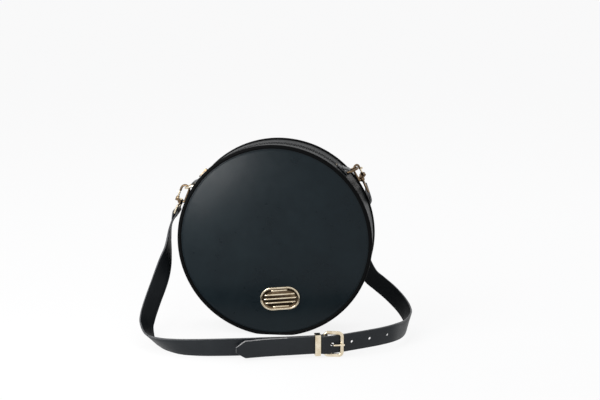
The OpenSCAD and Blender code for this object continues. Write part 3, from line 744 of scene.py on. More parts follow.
@dataclass
class Shell:
    """Panels, piping, side band, boards and linings."""

    shape: BagShape
    panel_r: float = 96.5 * MM
    panel_y: float = 25.6 * MM
    dome: float = 0.5 * MM
    shoulder: float = 30 * MM
    shoulder_drop: float = 1.2 * MM
    edge: float = 3 * MM
    edge_drop: float = 0.7 * MM
    piping_r: float = 98 * MM
    piping_y: float = 24 * MM
    piping_radius: float = 2 * MM
    piping_uneven: float = 0.05 * MM
    piping_wave: float = 0.06 * MM
    band_sink: float = 0.45 * MM
    band_wave: float = 0.15 * MM
    band_wave_y: float = 7 * MM
    seam_w: float = 2.2 * MM
    seam_drop: float = 0.5 * MM
    seam_corner: float = 0.55 * MM
    end_seam: float = 1.5
    end_seam_from: float = 6.4 * MM
    zip_seam_in: float = 1.6 * MM
    edge_seam_in: float = 2.4 * MM
    panel_wave: float = 14 * MM
    panel_uneven: float = 0.14 * MM
    badge_drop: float = 59 * MM
    badge_half: float = 8.5 * MM
    badge_flat: float = 8 * MM
    badge_pull: float = 14 * MM
    board_r: float = 89.5 * MM
    board_y: float = 24.1 * MM
    board_t: float = 1 * MM
    cloth_r: float = 90.5 * MM
    cloth_y: float = 22.45 * MM
    cloth_t: float = 0.5 * MM
    gusset_r: float = 96.6 * MM
    gusset_t: float = 0.5 * MM
    gusset_y: float = 20.3 * MM
    gusset_slack: float = 0.35 * MM
    turns: int = 240

    def disc(
        self, form: Form, radii: np.ndarray, outer: Callable, inner: Callable, side: Side, kind: int = 0
    ) -> None:
        """A round sheet with two surfaces and a closed rim.

        Args:
            form: The piece to add it to.
            radii: Radii of its rings from near the middle to the rim.
            outer: Depth of the outer surface from local X, local Z and radius.
            inner: Depth of the inner surface, likewise.
            side: The side of the bag that it is on.
            kind: The number of its finish.
        """
        angles = np.linspace(0, 360, self.turns, endpoint=False)
        a = np.radians(angles)[None, :]
        profiles = [(radii, outer), (radii[::-1], inner)]
        rings = []
        for rows, depth in profiles:
            r = rows[:, None]
            x, z = r * np.sin(a), r * np.cos(a)
            rings.append(self.shape.place(angles[None, :], r, side.value * depth(x, z, r)))
        grid = np.concatenate(rings).reshape(-1, 3)
        n = 2 * len(radii)
        faces = grid_faces(n, self.turns, False, True)
        middles = [grid[: self.turns].mean(0), grid[-self.turns :].mean(0)]
        last = (n - 1) * self.turns
        for k, start in ((0, 0), (1, last)):
            tip = n * self.turns + k
            faces += [(start + j, start + (j + 1) % self.turns, tip) for j in range(self.turns)]
        form.add(np.concatenate([grid, middles]), faces, kind)

    def _panel_depth(self, side: Side, pulled: bool) -> Callable:
        """The outer surface of a panel: a low dome, rounded at its rim.

        Args:
            side: The face that the panel is on.
            pulled: Whether the badge pulls the dome flat round it.

        Returns:
            A function that gives the depth from local X, local Z and radius.
        """

        def depth(x: np.ndarray, z: np.ndarray, r: np.ndarray) -> np.ndarray:
            """Depth of the skin.

            Args:
                x: Local X.
                z: Local Z.
                r: Radius.

            Returns:
                The depth at each place.
            """
            share = np.clip(r / self.panel_r, 0, 1)
            swell = self.dome * (1 - share**2)
            waves = ripple(x / self.panel_wave, z / self.panel_wave, 0.4 + side.value)
            uneven = self.panel_uneven * waves * (1 - share**6)
            fall = np.clip((r - self.panel_r + self.shoulder) / self.shoulder, 0, 1)
            if pulled:
                far = np.hypot(np.maximum(np.abs(x) - self.badge_half, 0), z + self.badge_drop)
                near = np.clip((far - self.badge_flat) / self.badge_pull, 0, 1)
                swell, uneven = swell * near**2 * (3 - 2 * near), uneven * near
            rim = np.clip((r - self.panel_r + self.edge) / self.edge, 0, 1)
            return self.panel_y + swell + uneven - self.shoulder_drop * fall**2 - self.edge_drop * rim**2.2

        return depth

    def panel(self, side: Side) -> bpy.types.Object:
        """Builds the leather panel of one face.

        Args:
            side: The face.

        Returns:
            The panel.
        """
        form = Form(SHELL)
        radii = np.concatenate([np.linspace(3, 88, 34), np.linspace(90, self.panel_r / MM, 11)]) * MM
        outer = self._panel_depth(side, side is Side.FRONT)
        self.disc(form, radii, outer, lambda x, z, r: self.panel_y - self.shape.leather + 0 * x, side)
        return form.build(f"{side.name.lower()}_leather_panel", "shell_leather")

    def flat_disc(
        self, name: str, side: Side, sizes: tuple[float, float, float], finish: Finish, slot: str
    ) -> bpy.types.Object:
        """Builds a thin flat sheet inside a face.

        Args:
            name: Its name after that of the side.
            side: The face.
            sizes: Its radius, the depth of its outer surface and its thickness.
            finish: Its finish.
            slot: The record's material slot.

        Returns:
            The sheet.
        """
        form = Form(finish)
        radius, y_out, thickness = sizes
        radii = np.linspace(3 * MM, radius, 14)
        self.disc(form, radii, lambda x, z, r: y_out + 0 * x, lambda x, z, r: y_out - thickness + 0 * x, side)
        return form.build(f"{side.name.lower()}_{name}", slot)

    def board(self, side: Side) -> bpy.types.Object:
        """The stiffening board of one face."""
        sizes = (self.board_r, self.board_y, self.board_t)
        return self.flat_disc("board", side, sizes, BOARD, "stiffener_board")

    def cloth(self, side: Side) -> bpy.types.Object:
        """The lining of one face."""
        sizes = (self.cloth_r, self.cloth_y, self.cloth_t)
        return self.flat_disc("cloth", side, sizes, LINING, "lining_cloth")

    def lathe(
        self, form: Form, outline: np.ndarray, angles: np.ndarray, closed: bool, kind: int = 0,
        give: Optional[Callable] = None
    ) -> None:
        """Turns a closed outline round the bag's axis.

        Args:
            form: The piece to add it to.
            outline: Radius and depth of its points.
            angles: Degrees from the bag's top.
            closed: Whether the ends meet.
            kind: The number of its finish.
            give: Radius to add, from the angle, the radius and the depth.
        """
        a = angles[:, None]
        r, y = outline[None, :, 0], outline[None, :, 1]
        grow = give(a, r, y) if give else 0
        grid = self.shape.place(a, r + grow, y).reshape(-1, 3)
        n, m = len(angles), len(outline)
        faces = grid_faces(n, m, closed, True)
        if not closed:
            faces += [tuple(range(m)), tuple(range((n - 1) * m, n * m))]
        form.add(grid, faces, kind)

    def piping(self, side: Side) -> bpy.types.Object:
        """Builds the piped edge of one face, a little uneven.

        Args:
            side: The face.

        Returns:
            The piping.
        """
        form = Form(PIPING)
        middle = np.array([self.piping_r, side.value * self.piping_y])
        outline = turned(0, 345, 23) * self.piping_radius + middle
        angles = np.linspace(0, 360, 480, endpoint=False)

        def give(a: np.ndarray, r: np.ndarray, y: np.ndarray) -> np.ndarray:
            """How far the leather stands out.

            Args:
                a: Degrees from the bag's top.
                r: Radius.
                y: Depth.

            Returns:
                The radius to add at each place.
            """
            uneven = self.piping_uneven * ripple(a * 0.21, y / MM, 2.0 + side.value)
            slow = self.piping_wave * ripple(a * 0.05, 0 * y, 5.1)
            return uneven * (r - self.piping_r) / self.piping_radius + slow

        self.lathe(form, outline, angles, True, give=give)
        return form.build(f"{side.name.lower()}_piped_edge", "piping_leather")

    def band_outline(self, y0: float, y1: float) -> np.ndarray:
        """Outline of the side band's leather between two depths, its seams turned down."""
        inner, outer = self.shape.band_r - self.shape.leather, self.shape.band_r
        return soft_box((inner, y0), (outer, y1), self.seam_corner, 10)

    def band_give(self, seed: float) -> Callable:
        """How the side band sinks between its seams and ripples along its length.

        Args:
            seed: Where its ripples start.

        Returns:
            A function that gives the radius to add from angle, radius and depth.
        """

        def give(a: np.ndarray, r: np.ndarray, y: np.ndarray) -> np.ndarray:
            """How far the leather stands out.

            Args:
                a: Degrees from the bag's top.
                r: Radius; not used.
                y: Depth.

            Returns:
                The radius to add at each place.
            """
            inside = 1 - (np.abs(y) / self.shape.band_y) ** 2
            seam = np.clip((np.abs(y) - self.shape.band_y + self.seam_w) / self.seam_w, 0, 1) ** 2
            waves = self.band_wave * ripple(a * 0.16, y / self.band_wave_y, seed) * inside
            return waves - self.band_sink * inside - self.seam_drop * seam

        return give

    def side_band(self) -> bpy.types.Object:
        """Builds the band under the zip ends, with a sewn seam at each end.

        Returns:
            The band.
        """
        form = Form(BAND, THREAD)
        y = self.shape.band_y
        angles = np.linspace(self.shape.zip_end, 360 - self.shape.zip_end, 260)
        self.lathe(form, self.band_outline(-y, y), angles, False, give=self.band_give(0.7))
        for sign in (-1, 1):
            row_y = np.linspace(-y + 2 * MM, y - 2 * MM, 30)
            angle = sign * (self.shape.zip_end + self.end_seam)
            sink = self.band_give(0.7)(np.full(30, angle % 360), np.full(30, self.shape.band_r), row_y)
            keep = np.abs(row_y) > self.end_seam_from
            for part in (keep & (row_y < 0), keep & (row_y > 0)):
                number = part.sum()
                path = self.shape.place(np.full(number, angle), self.shape.band_r + sink[part], row_y[part])
                Stitching().sew(form, path, np.tile(self.shape.out(angle), (number, 1)), 1)
        return form.build("side_band_leather", "shell_leather")

    def facing(self, side: Side) -> bpy.types.Object:
        """Builds the strip between the piping and the zip, topstitched along the zip.

        Args:
            side: The side of the zip that it is on.

        Returns:
            The strip.
        """
        form = Form(BAND, THREAD)
        near, far = sorted((side.value * self.shape.zip_gap, side.value * self.shape.band_y))
        end = self.shape.zip_end - 0.1
        angles = np.linspace(-end, end, 130)
        give = self.band_give(1.9 + side.value)
        self.lathe(form, self.band_outline(near, far), angles, False, give=give)
        row = np.linspace(-end + 1, end - 1, 160)
        for y in (self.shape.zip_gap + self.zip_seam_in, self.shape.band_y - self.edge_seam_in):
            depth = np.full(160, side.value * y)
            sink = give(row, np.full(160, self.shape.band_r), depth)
            path = self.shape.place(row, self.shape.band_r + sink, depth)
            Stitching().sew(form, path, self.shape.out(row), 1)
        return form.build(f"{side.name.lower()}_zip_facing_leather", "shell_leather")

    def gusset_cloth(self) -> bpy.types.Object:
        """Builds the lining of the side band, a little slack.

        Returns:
            The lining.
        """
        form = Form(LINING)
        angles = np.linspace(self.shape.zip_end, 360 - self.shape.zip_end, 200)
        low, high = (self.gusset_r, -self.gusset_y), (self.gusset_r + self.gusset_t, self.gusset_y)
        outline = soft_box(low, high, 0.1 * MM, 12)
        self.lathe(
            form, outline, angles, False,
            give=lambda a, r, y: -self.gusset_slack * (1 + ripple(a * 0.3, y / (5 * MM), 3.3))
        )
        return form.build("side_band_cloth", "lining_cloth")

    def build(self) -> None:
        """Builds every piece of the shell and hangs the back ones on the bag."""
        bending = {
            self.panel(Side.FRONT): ("front_panel", "front_panel_mouth"),
            self.piping(Side.FRONT): ("front_piping", "front_piping_mouth"),
            self.facing(Side.FRONT): ("front_zip_facing", "front_facing_ends"),
            self.board(Side.FRONT): ("front_stiffener", "front_stiffener_mouth"),
            self.cloth(Side.FRONT): ("front_lining", "front_lining_mouth"),
        }
        for piece, nodes in bending.items():
            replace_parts(self.shape.fold(piece), *nodes)
        still = {
            self.panel(Side.BACK): "back_panel",
            self.piping(Side.BACK): "back_piping",
            self.facing(Side.BACK): "back_zip_facing",
            self.side_band(): "base_gusset",
            self.gusset_cloth(): "gusset_lining",
            self.board(Side.BACK): "back_stiffener",
            self.cloth(Side.BACK): "back_lining",
        }
        for piece, node in still.items():
            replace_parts(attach(piece, "bag"), node)
        log.info("shell: %d pieces", len(bending) + len(still))


@dataclass
class Zip:
    """Tapes and teeth."""

    shell: Shell
    tape_r: float = 97.1 * MM
    tape_t: float = 0.5 * MM
    row_in: float = 1 * MM
    tape_w: float = 13 * MM
    tooth_h: float = 1.3 * MM
    tooth_w: float = 1.5 * MM
    tooth_step: float = 2.5 * MM
    tooth_sunk: float = 0.12 * MM
    tooth_rings: tuple[tuple[float, float], ...] = ((0, 0.78), (0.12, 1), (0.4, 1), (0.55, 0.72), (1, 0.72))
    tooth_across: tuple[float, ...] = (-1, -1, -0.55, 0.55, 1, 1)
    tooth_top: tuple[float, ...] = (0.1, 0.82, 1.0, 1.0, 0.82, 0.1)

    def tape(self, side: Side) -> bpy.types.Object:
        """Builds one woven tape.

        Args:
            side: The side of the zip that it is on.

        Returns:
            The tape.
        """
        form = Form(TAPE)
        shape = self.shell.shape
        near, far = sorted((side.value * self.row_in, side.value * (self.row_in + self.tape_w)))
        outline = soft_box((self.tape_r - self.tape_t, near), (self.tape_r, far), 0.12 * MM, 6)
        end = shape.zip_end - 0.1
        self.shell.lathe(form, outline, np.linspace(-end, end, 120), False)
        return form.build(f"{side.name.lower()}_woven_tape", "zip_tape")

    def teeth(self, side: Side) -> bpy.types.Object:
        """Builds one row of moulded teeth, each with a rounded top and a head towards the other row.

        Args:
            side: The side of the zip that it is on.

        Returns:
            The row.
        """
        form = Form(NYLON)
        shape = self.shell.shape
        end = shape.zip_end - 0.3
        number = int(2 * math.radians(end) * self.tape_r / self.tooth_step)
        step = 2 * end / number
        half = math.degrees(self.tooth_step * 0.3 / self.tape_r)
        shift = 0.25 * step * side.value
        for k in range(number):
            middle = -end + (k + 0.5) * step + shift
            rings = []
            for y_share, grow in self.tooth_rings:
                y = side.value * (self.row_in + y_share * self.tooth_w)
                top = self.tooth_h * np.array(self.tooth_top) * (0.85 + 0.15 * grow)
                across = half * grow * np.array(self.tooth_across)
                rings.append(shape.place(middle + across, self.tape_r - self.tooth_sunk + top, y))
            form.add_tube(rings)
        return form.build(f"{side.name.lower()}_nylon_teeth", "zip_teeth", 30)

    def build(self) -> None:
        """Builds the tapes and the teeth."""
        fold = self.shell.shape.fold
        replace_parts(fold(self.tape(Side.FRONT)), "front_zip_tape", "front_tape_ends")
        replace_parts(fold(self.teeth(Side.FRONT)), "front_zip_teeth", "front_teeth_ends")
        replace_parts(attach(self.tape(Side.BACK), "bag"), "back_zip_tape")
        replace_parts(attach(self.teeth(Side.BACK), "bag"), "back_zip_teeth")
        log.info("zip: 4 pieces")


# Straps, tabs and folds

# Shares of the strap's thickness that are left in a fold and at its ends.
PARED = 0.8
PARED_END = 0.5


@dataclass
class Ribbon:
    """A leather strip swept along a path, with burnished edges and a crease beside each."""

    width: float
    thickness: float
    crease: float = 1.5 * MM
    crease_depth: float = 0.14 * MM
    crease_w: float = 0.35 * MM
    corner: float = 0.6 * MM

    def section(self) -> tuple[np.ndarray, list[int]]:
        """The strip's outline.

        Returns:
            Points across and out of the strip, and for each the finish of the side that starts
            there: 0 for the face, 1 for an edge, 2 for the back.
        """
        w, t = self.width / 2, self.thickness / 2
        c = min(0.55 * t, self.corner)
        inner = w - self.crease
        flat = [w - c, inner + self.crease_w, inner, inner - self.crease_w, w * 0.4, 0]
        half = [(u, t - (self.crease_depth if u == inner else 0)) for u in flat]
        top = half + [(-u, v) for u, v in half[-2::-1]]
        arc = turned(90, 180, 3) * c + np.array([-w + c, t - c])
        high_arc = [tuple(place) for place in arc[1:]]
        points = top + high_arc + [(-w, 0)]
        kinds = [0] * (len(top) - 1) + [1] * (len(points) - len(top) + 1)
        low_arc = [(u, -v) for u, v in high_arc[::-1]]
        points += low_arc
        kinds += [1] * len(low_arc)
        points += [(u, -v) for u, v in top[::-1]]
        kinds += [2] * (len(top) - 1) + [1]
        right = [(-u, -v) for u, v in points[len(top) : len(top) + 2 * len(low_arc) + 1]]
        points += right
        kinds += [1] * len(right)
        return np.array(points), kinds

    def sweep(
        self, form: Form, path: np.ndarray, widths: np.ndarray, narrow: Optional[np.ndarray] = None,
        thin: Optional[np.ndarray] = None, kinds: tuple[int, int, int] = (0, 1, 0)
    ) -> None:
        """Adds the strip to a form.

        Args:
            form: The piece to add it to.
            path: Places along its middle.
            widths: Direction of its width at each place.
            narrow: Share of the width at each place.
            thin: Share of the thickness at each place.
            kinds: Finish numbers of its face, its edges and its back.
        """
        t = headings(path)
        across = unit(widths - t * np.sum(widths * t, 1, keepdims=True))
        out = unit(np.cross(across, t))
        section, sides = self.section()
        narrow = np.ones(len(path)) if narrow is None else narrow
        thin = np.ones(len(path)) if thin is None else thin
        u = section[None, :, 0, None] * narrow[:, None, None]
        v = section[None, :, 1, None] * thin[:, None, None]
        grid = path[:, None] + across[:, None] * u + out[:, None] * v
        grid[..., 2] = np.maximum(grid[..., 2], 0)
        n, m = len(path), len(section)
        faces = grid_faces(n, m, False, True)
        marks = [kinds[sides[j]] for _ in range(n - 1) for j in range(m)]
        faces += [tuple(range(m)), tuple(range((n - 1) * m, n * m))]
        form.add(grid.reshape(-1, 3), faces, marks + [kinds[1]] * 2)


def fold_course(thickness: float, wrap: float, length: float, waist: float) -> tuple[np.ndarray, np.ndarray]:
    """The course of a strap's end folded round a bar.

    Args:
        thickness: The strap's thickness, pared down in the fold.
        wrap: Radius of the fold's outside.
        length: Length of the fold.
        waist: How wide the fold is half way, as a share of the round.

    Returns:
        Places across and along the fold, and the share of the thickness at each.
    """
    r = wrap - thickness * PARED / 2
    arc = turned(0, -180, 16) * r
    left = np.array([[-thickness / 2 * 0.5, length], [-r * waist, length * 0.5]])
    flat = np.concatenate([left * [-1, 1], arc, left[::-1]])
    thin = np.full(len(flat), PARED)
    thin[[0, -1]] = PARED_END
    return flat, thin


class Hand(Enum):
    """Left or right end of the strap."""

    LEFT = -1
    RIGHT = 1


@dataclass
class EndFitting:
    """Where one end of the strap hangs: the hook's place and direction, and the eye's bar."""

    hook_at: tuple[float, float, float]
    direction: tuple[float, float, float]
    side: tuple[float, float, float]
    eye_out: float = 26.3 * MM
    wrap: float = 2.92 * MM
    wedge_wraps: float = 3
    strap_from: float = 0.8
    seams: tuple[float, float] = (0.42, 0.82)
    seam_half: float = 0.4
    waist: float = 0.62

    @property
    def eye(self) -> np.ndarray:
        """The middle of the eye's outer bar."""
        return np.array(self.hook_at) * MM + unit(self.direction) * self.eye_out

    @property
    def wedge(self) -> float:
        """Length of the sewn fold."""
        return self.wrap * self.wedge_wraps

    @property
    def strap_start(self) -> np.ndarray:
        """Where the single strap starts."""
        return self.eye + unit(self.direction) * self.wedge * self.strap_from

    def fold(self, form: Form, ribbon: Ribbon, kinds: tuple[int, int, int], thread: int) -> None:
        """Wraps the strap's end round the eye and sews it down.

        Args:
            form: The strap's form.
            ribbon: The strap's section.
            kinds: Finish numbers of the face, the edges and the back.
            thread: The thread's finish number.
        """
        z, y = unit(self.direction), unit(self.side)
        x = np.cross(y, z)
        flat, thin = fold_course(ribbon.thickness, self.wrap, self.wedge, self.waist)
        path = self.eye + flat[:, :1] * x + flat[:, 1:] * z
        ribbon.sweep(form, path, np.tile(y, (len(path), 1)), thin=thin, kinds=kinds)
        span = np.linspace(-self.seam_half, self.seam_half, 12)[:, None] * ribbon.width
        for along in self.seams:
            for sign in (-1, 1):
                place = self.eye + z * self.wedge * along
                lift = np.interp(along, [0, 1], [self.wrap, ribbon.thickness / 2])
                Stitching().sew(form, place + span * y + sign * x * lift, np.tile(sign * x, (12, 1)), thread)


LEFT_END = EndFitting((-95.5743, 0, 147.524), (-0.374607, 0, -0.927184), (0, 1, 0))
RIGHT_END = EndFitting(
    (80.5887, 5.37401, 171.032), (0.361877, 0.498081, -0.788011), (-0.310587, 0.861423, 0.401853)
)


@dataclass
class Route:
    """The strap's course, as in the part's source: place and width direction of each row."""

    bag_r: float = 100 * MM
    half_depth: float = 26 * MM
    strap_w: float = 18 * MM
    strap_t: float = 1.9 * MM
    layer_gap: float = 0.3 * MM
    steps: int = 9
    buckle_u: float = 8.25 * MM
    buckle_rise: float = 4.4 * MM
    bar_r: float = 1.4 * MM
    wrap: float = 3.22 * MM
    keeper_w: float = 5.5 * MM
    play: float = 0.3 * MM
    prong_u: float = -1.19 * MM
    buckle_turn: float = 15
    buckle_at: tuple[float, float, float] = (65.3 * MM, -82.2 * MM, 12.7 * MM)
    wedge_wraps: float = 1.25
    strap_into: float = 0.8
    waist: float = 0.7
    eye_width: tuple[float, float, float] = (-0.14, 0.97, -0.20)
    tail_rows: tuple[int, int, int] = (17, 18, 19)
    tail_off: tuple[float, float, float] = (2.4, 1.3, 0.4)
    left: list = field(default_factory=lambda: [
        (-1.129, 0, 0.010, 1.061, 0, -0.11, 0.99, 0.03),
        (-1.147, 0, 0.000, 0.933, 0, -0.02, 0.98, -0.20),
        (-1.153, 0, -0.040, 0.813, 0, 0.19, 0.88, -0.43),
        (-1.166, 0, -0.110, 0.702, 0, 0.52, 0.65, -0.55),
        (-1.182, 0, -0.200, 0.596, 0, 0.73, 0.44, -0.53),
        (-1.201, 0, -0.290, 0.503, 0, 0.78, 0.34, -0.52),
        (-1.222, -1, -0.130, 0.414, 0, 0.75, 0.34, -0.56),
        (-1.240, -1, -0.230, 0.326, 0, 0.73, 0.38, -0.56),
        (-1.250, -1, -0.320, 0.248, 0, 0.69, 0.46, -0.56),
        (-1.242, -1, -0.400, 0.184, 0, 0.58, 0.64, -0.51),
        (-1.183, -1, -0.500, 0.098, 0, 0.42, 0.62, -0.66),
        (-1.102, -1, -0.575, 0.080, 0, 0.30, 0.60, -0.74),
        (-0.994, -1, -0.645, 0.076, 0, 0.16, 0.50, -0.85),
        (-0.876, -1, -0.700, 0.081, 0, 0.05, 0.34, -0.94),
        (-0.748, -1, -0.735, 0.091, 0, 0.03, 0.24, -0.97),
        (-0.594, -1, -0.760, 0.103, 0, 0.02, 0.15, -0.99),
        (-0.396, -1, -0.765, 0.115, 0, 0.01, 0.10, -1.00),
        (-0.180, -1, -0.740, 0.120, 0, 0.00, 0.07, -1.00),
        (0.015, -1, -0.700, 0.120, 0, 0.00, 0.00, -1.00),
        (0.215, -1, -0.655, 0.119, 0, 0.00, 0.00, -1.00),
    ])
    right: list = field(default_factory=lambda: [
        (0.834, -1, -0.503, 0.133, 0, 0.00, 0.00, -1.00),
        (0.971, -1, -0.427, 0.138, 0, 0.00, 0.00, -1.00),
        (1.114, -1, -0.342, 0.144, 0, 0.00, 0.00, -1.00),
        (1.239, -1, -0.221, 0.144, 0, 0.00, 0.00, -1.00),
        (1.328, 0, -0.270, 0.000, 0.68, -0.12, 0.00, -0.99),
        (1.372, 0, -0.080, 0.030, 0.60, -0.26, 0.03, -0.96),
        (1.358, 0, 0.120, 0.148, 0, -0.36, 0.08, -0.92),
        (1.290, 0, 0.250, 0.215, 0, -0.45, 0.10, -0.88),
        (1.170, 1, 0.090, 0.310, 0, -0.60, 0.05, -0.78),
        (1.050, 1, 0.140, 0.395, 0, -0.64, 0.00, -0.76),
        (0.950, 1, 0.160, 0.475, 0, -0.70, 0.00, -0.70),
        (0.870, 1, 0.160, 0.620, 0, -0.90, 0.05, -0.38),
        (0.815, 1, 0.150, 0.800, 0, -0.97, 0.15, -0.15),
        (0.800, 1, 0.135, 1.000, 0, -0.80, 0.58, -0.02),
        (0.845, 1, 0.130, 1.180, 0, -0.52, 0.84, 0.15),
        (0.915, 1, 0.090, 1.340, 0, -0.38, 0.86, 0.34),
    ])

    def __post_init__(self) -> None:
        """Works out the buckle's axes and both straps' places."""
        turn = math.radians(self.buckle_turn)
        self.u = np.array([math.cos(turn), math.sin(turn), 0])
        self.n = np.array([math.sin(turn), -math.cos(turn), 0])
        self.down = np.array([0, 0, -1.0])
        self.wedge = self.wrap * self.wedge_wraps
        before = -self.buckle_u - self.wedge
        self.left_places = np.array([
            LEFT_END.strap_start,
            *map(self._place, self.left),
            self.at_buckle(before - self.strap_w * 0.7, 0),
            self.at_buckle(-self.buckle_u - self.wedge * self.strap_into, 0),
        ])
        self.left_widths = np.array(
            [unit(self.eye_width), *map(self._width, self.left), self.down, self.down]
        )
        through = self._through(before - self.play - self.keeper_w / 2)
        self.right_places = np.array(
            [*self._tail(), *through, *map(self._place, self.right), RIGHT_END.strap_start]
        )
        self.right_widths = np.array([
            *[self.left_widths[i + 1] for i in self.tail_rows],
            *[self.down] * len(through),
            *map(self._width, self.right),
            unit(RIGHT_END.side),
        ])

    @property
    def tail_n(self) -> float:
        """From the middle of the left half to that of the right half that lies on it."""
        return self.strap_t + self.layer_gap

    def _tail(self) -> list[np.ndarray]:
        """Lays the right half's end on the left half.

        Returns:
            Its places in order.
        """
        return [
            self.left_places[i + 1] + self._outward(i + 1) * (self.tail_n + self.strap_t * off)
            for i, off in zip(self.tail_rows, self.tail_off)
        ]

    def _through(self, keeper_u: float) -> list[np.ndarray]:
        """Places of the right half from the keeper to the buckle's far bar.

        Args:
            keeper_u: Place of the keeper's middle along the strap.

        Returns:
            The places in order.
        """
        over_pin = self.wrap + self.layer_gap + self.strap_t / 2
        over_front = self.buckle_rise - self.bar_r - self.layer_gap - self.strap_t / 2
        return [
            self.at_buckle(keeper_u - self.keeper_w * 1.5, self.tail_n),
            self.at_buckle(keeper_u + self.keeper_w * 0.2, self.tail_n),
            self.at_buckle(-self.buckle_u - self.wrap, self.tail_n * 0.4 + over_pin * 0.6),
            self.at_buckle(-self.buckle_u, over_pin),
            self.at_buckle(self.prong_u, (over_pin + over_front) / 2),
            self.at_buckle(self.buckle_u, over_front) - self.down * self.play,
        ]

    def _place(self, row: Sequence[float]) -> np.ndarray:
        """Works out a row's place.

        Args:
            row: The row: X, side of the bag, distance from it, Z, lift and width direction.

        Returns:
            The place.
        """
        x, side, y, z, lift = row[:5]
        depth = side * self.half_depth + y * self.bag_r
        return np.array([x * self.bag_r, depth, z * self.bag_r + lift * self.strap_w])

    @staticmethod
    def _width(row: Sequence[float]) -> np.ndarray:
        """A row's width direction."""
        return unit(row[5:8])

    def at_buckle(self, u: float, n: float) -> np.ndarray:
        """A place in the buckle's own axes."""
        return np.array(self.buckle_at) + self.u * u + self.n * n

    def _outward(self, i: int) -> np.ndarray:
        """Works out where the left strap's face looks.

        Args:
            i: Number of the place.

        Returns:
            The direction out of its face.
        """
        t = headings(self.left_places)[i]
        w = self.left_widths[i]
        return unit(np.cross(unit(w - t * (w @ t)), t))


@dataclass
class Straps:
    """Both halves of the strap."""

    route: Route
    pin_hole_d: float = 3.8 * MM
    hole_d: float = 2.9 * MM
    hole_distance: float = 20 * MM
    holes: int = 4
    hole_row: int = 7
    tip: float = 9 * MM
    tip_widths: tuple[float, ...] = (0.30, 0.34, 0.56, 0.80, 0.97)
    tip_places: tuple[float, ...] = (1.0, 0.96, 0.66, 0.33, 0.06)
    tip_rows: int = 2
    slot: float = 1.7 * MM

    def left(self) -> bpy.types.Object:
        """Builds the half that carries the buckle.

        Returns:
            The left half.
        """
        route = self.route
        form = Form(STRAP, EDGE, THREAD, STRAP_BACK_SHADED)
        ribbon = Ribbon(route.strap_w, route.strap_t)
        path = smooth_path(route.left_places, route.steps)
        widths = smooth_path(route.left_widths, route.steps)
        ribbon.sweep(form, path, widths, kinds=(0, 1, 3))
        LEFT_END.fold(form, ribbon, (0, 1, 3), 2)
        self._buckle_fold(form, ribbon)
        return form.build("left_strap_leather", "strap_leather", 50)

    def _buckle_fold(self, form: Form, ribbon: Ribbon) -> None:
        """Wraps the strap round the buckle's pin bar, in two tongues beside the prong.

        Args:
            form: The strap's form.
            ribbon: The strap's section.
        """
        route = self.route
        flat, thin = fold_course(ribbon.thickness, route.wrap, route.wedge, route.waist)
        pin = route.at_buckle(-route.buckle_u, 0)
        tongue = Ribbon(route.strap_w / 2 - self.slot, ribbon.thickness, crease_depth=0)
        for sign in (-1, 1):
            middle = pin + route.down * sign * (route.strap_w / 4 + self.slot / 2)
            path = middle + flat[:, :1] * route.n - flat[:, 1:] * route.u
            tongue.sweep(form, path, np.tile(route.down, (len(path), 1)), thin=thin)

    def right(self) -> bpy.types.Object:
        """Builds the half with the holes and the pointed end.

        Returns:
            The right half.
        """
        route = self.route
        form = Form(STRAP, EDGE, THREAD, TIP_EDGE_HIGHLIGHT, STRAP_BACK_SHADED)
        ribbon = Ribbon(route.strap_w, route.strap_t)
        path = smooth_path(route.right_places, route.steps)
        widths = smooth_path(route.right_widths, route.steps)
        lead = np.array(self.tip_places)
        rings = len(lead)
        tail = path[0] - headings(path)[0] * self.tip * lead[:, None]
        tail_path = np.concatenate([tail, path])
        tail_widths = np.concatenate([np.tile(widths[0], (rings, 1)), widths])
        narrow = np.concatenate([self.tip_widths, np.ones(len(path))])
        cut = rings + route.steps * self.tip_rows
        # The tip's cut edges take the pale edge finish of painted highlight.
        ribbon.sweep(form, tail_path[: cut + 1], tail_widths[: cut + 1], narrow[: cut + 1], kinds=(0, 3, 4))
        ribbon.sweep(form, tail_path[cut:], tail_widths[cut:], narrow[cut:], kinds=(0, 1, 4))
        RIGHT_END.fold(form, ribbon, (0, 1, 4), 2)
        piece = form.build("right_strap_leather", "strap_leather", 50)
        self._punch(piece, path, widths)
        return piece

    def _punch(self, piece: bpy.types.Object, path: np.ndarray, widths: np.ndarray) -> None:
        """Cuts the round holes with their raw walls.

        Args:
            piece: The right half.
            path: Places along its middle.
            widths: Direction of its width at each place.
        """
        start = self.hole_row * self.route.steps
        run = np.concatenate([[0], np.cumsum(np.linalg.norm(np.diff(path[start:], axis=0), axis=1))])
        t = headings(path)
        punch = Form(EDGE)
        for k in range(self.holes):
            i = start + int(np.argmin(np.abs(run - k * self.hole_distance)))
            a = unit(widths[i] - t[i] * (widths[i] @ t[i]))
            out = np.cross(a, t[i])
            ring = turned(0, 345, 23) * (self.hole_d if k else self.pin_hole_d) / 2
            rings = [path[i] + ring[:, :1] * t[i] + ring[:, 1:] * a + out * s * 3 * MM for s in (-1, 1)]
            punch.add_tube(rings)
        tool = punch.build("hole_punch", "strap_leather")
        cut = piece.modifiers.new("holes", "BOOLEAN")
        cut.operation, cut.solver, cut.object = "DIFFERENCE", "EXACT", tool
        bpy.context.view_layer.update()
        mesh = bpy.data.meshes.new_from_object(piece.evaluated_get(bpy.context.evaluated_depsgraph_get()))
        piece.modifiers.clear()
        piece.data = mesh
        bpy.data.objects.remove(tool)

    def build(self) -> None:
        """Builds both halves, which lie still with the bag."""
        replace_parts(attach(self.left(), "bag"), "left_strap")
        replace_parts(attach(self.right(), "bag"), "right_strap")
        log.info("strap: 2 pieces")


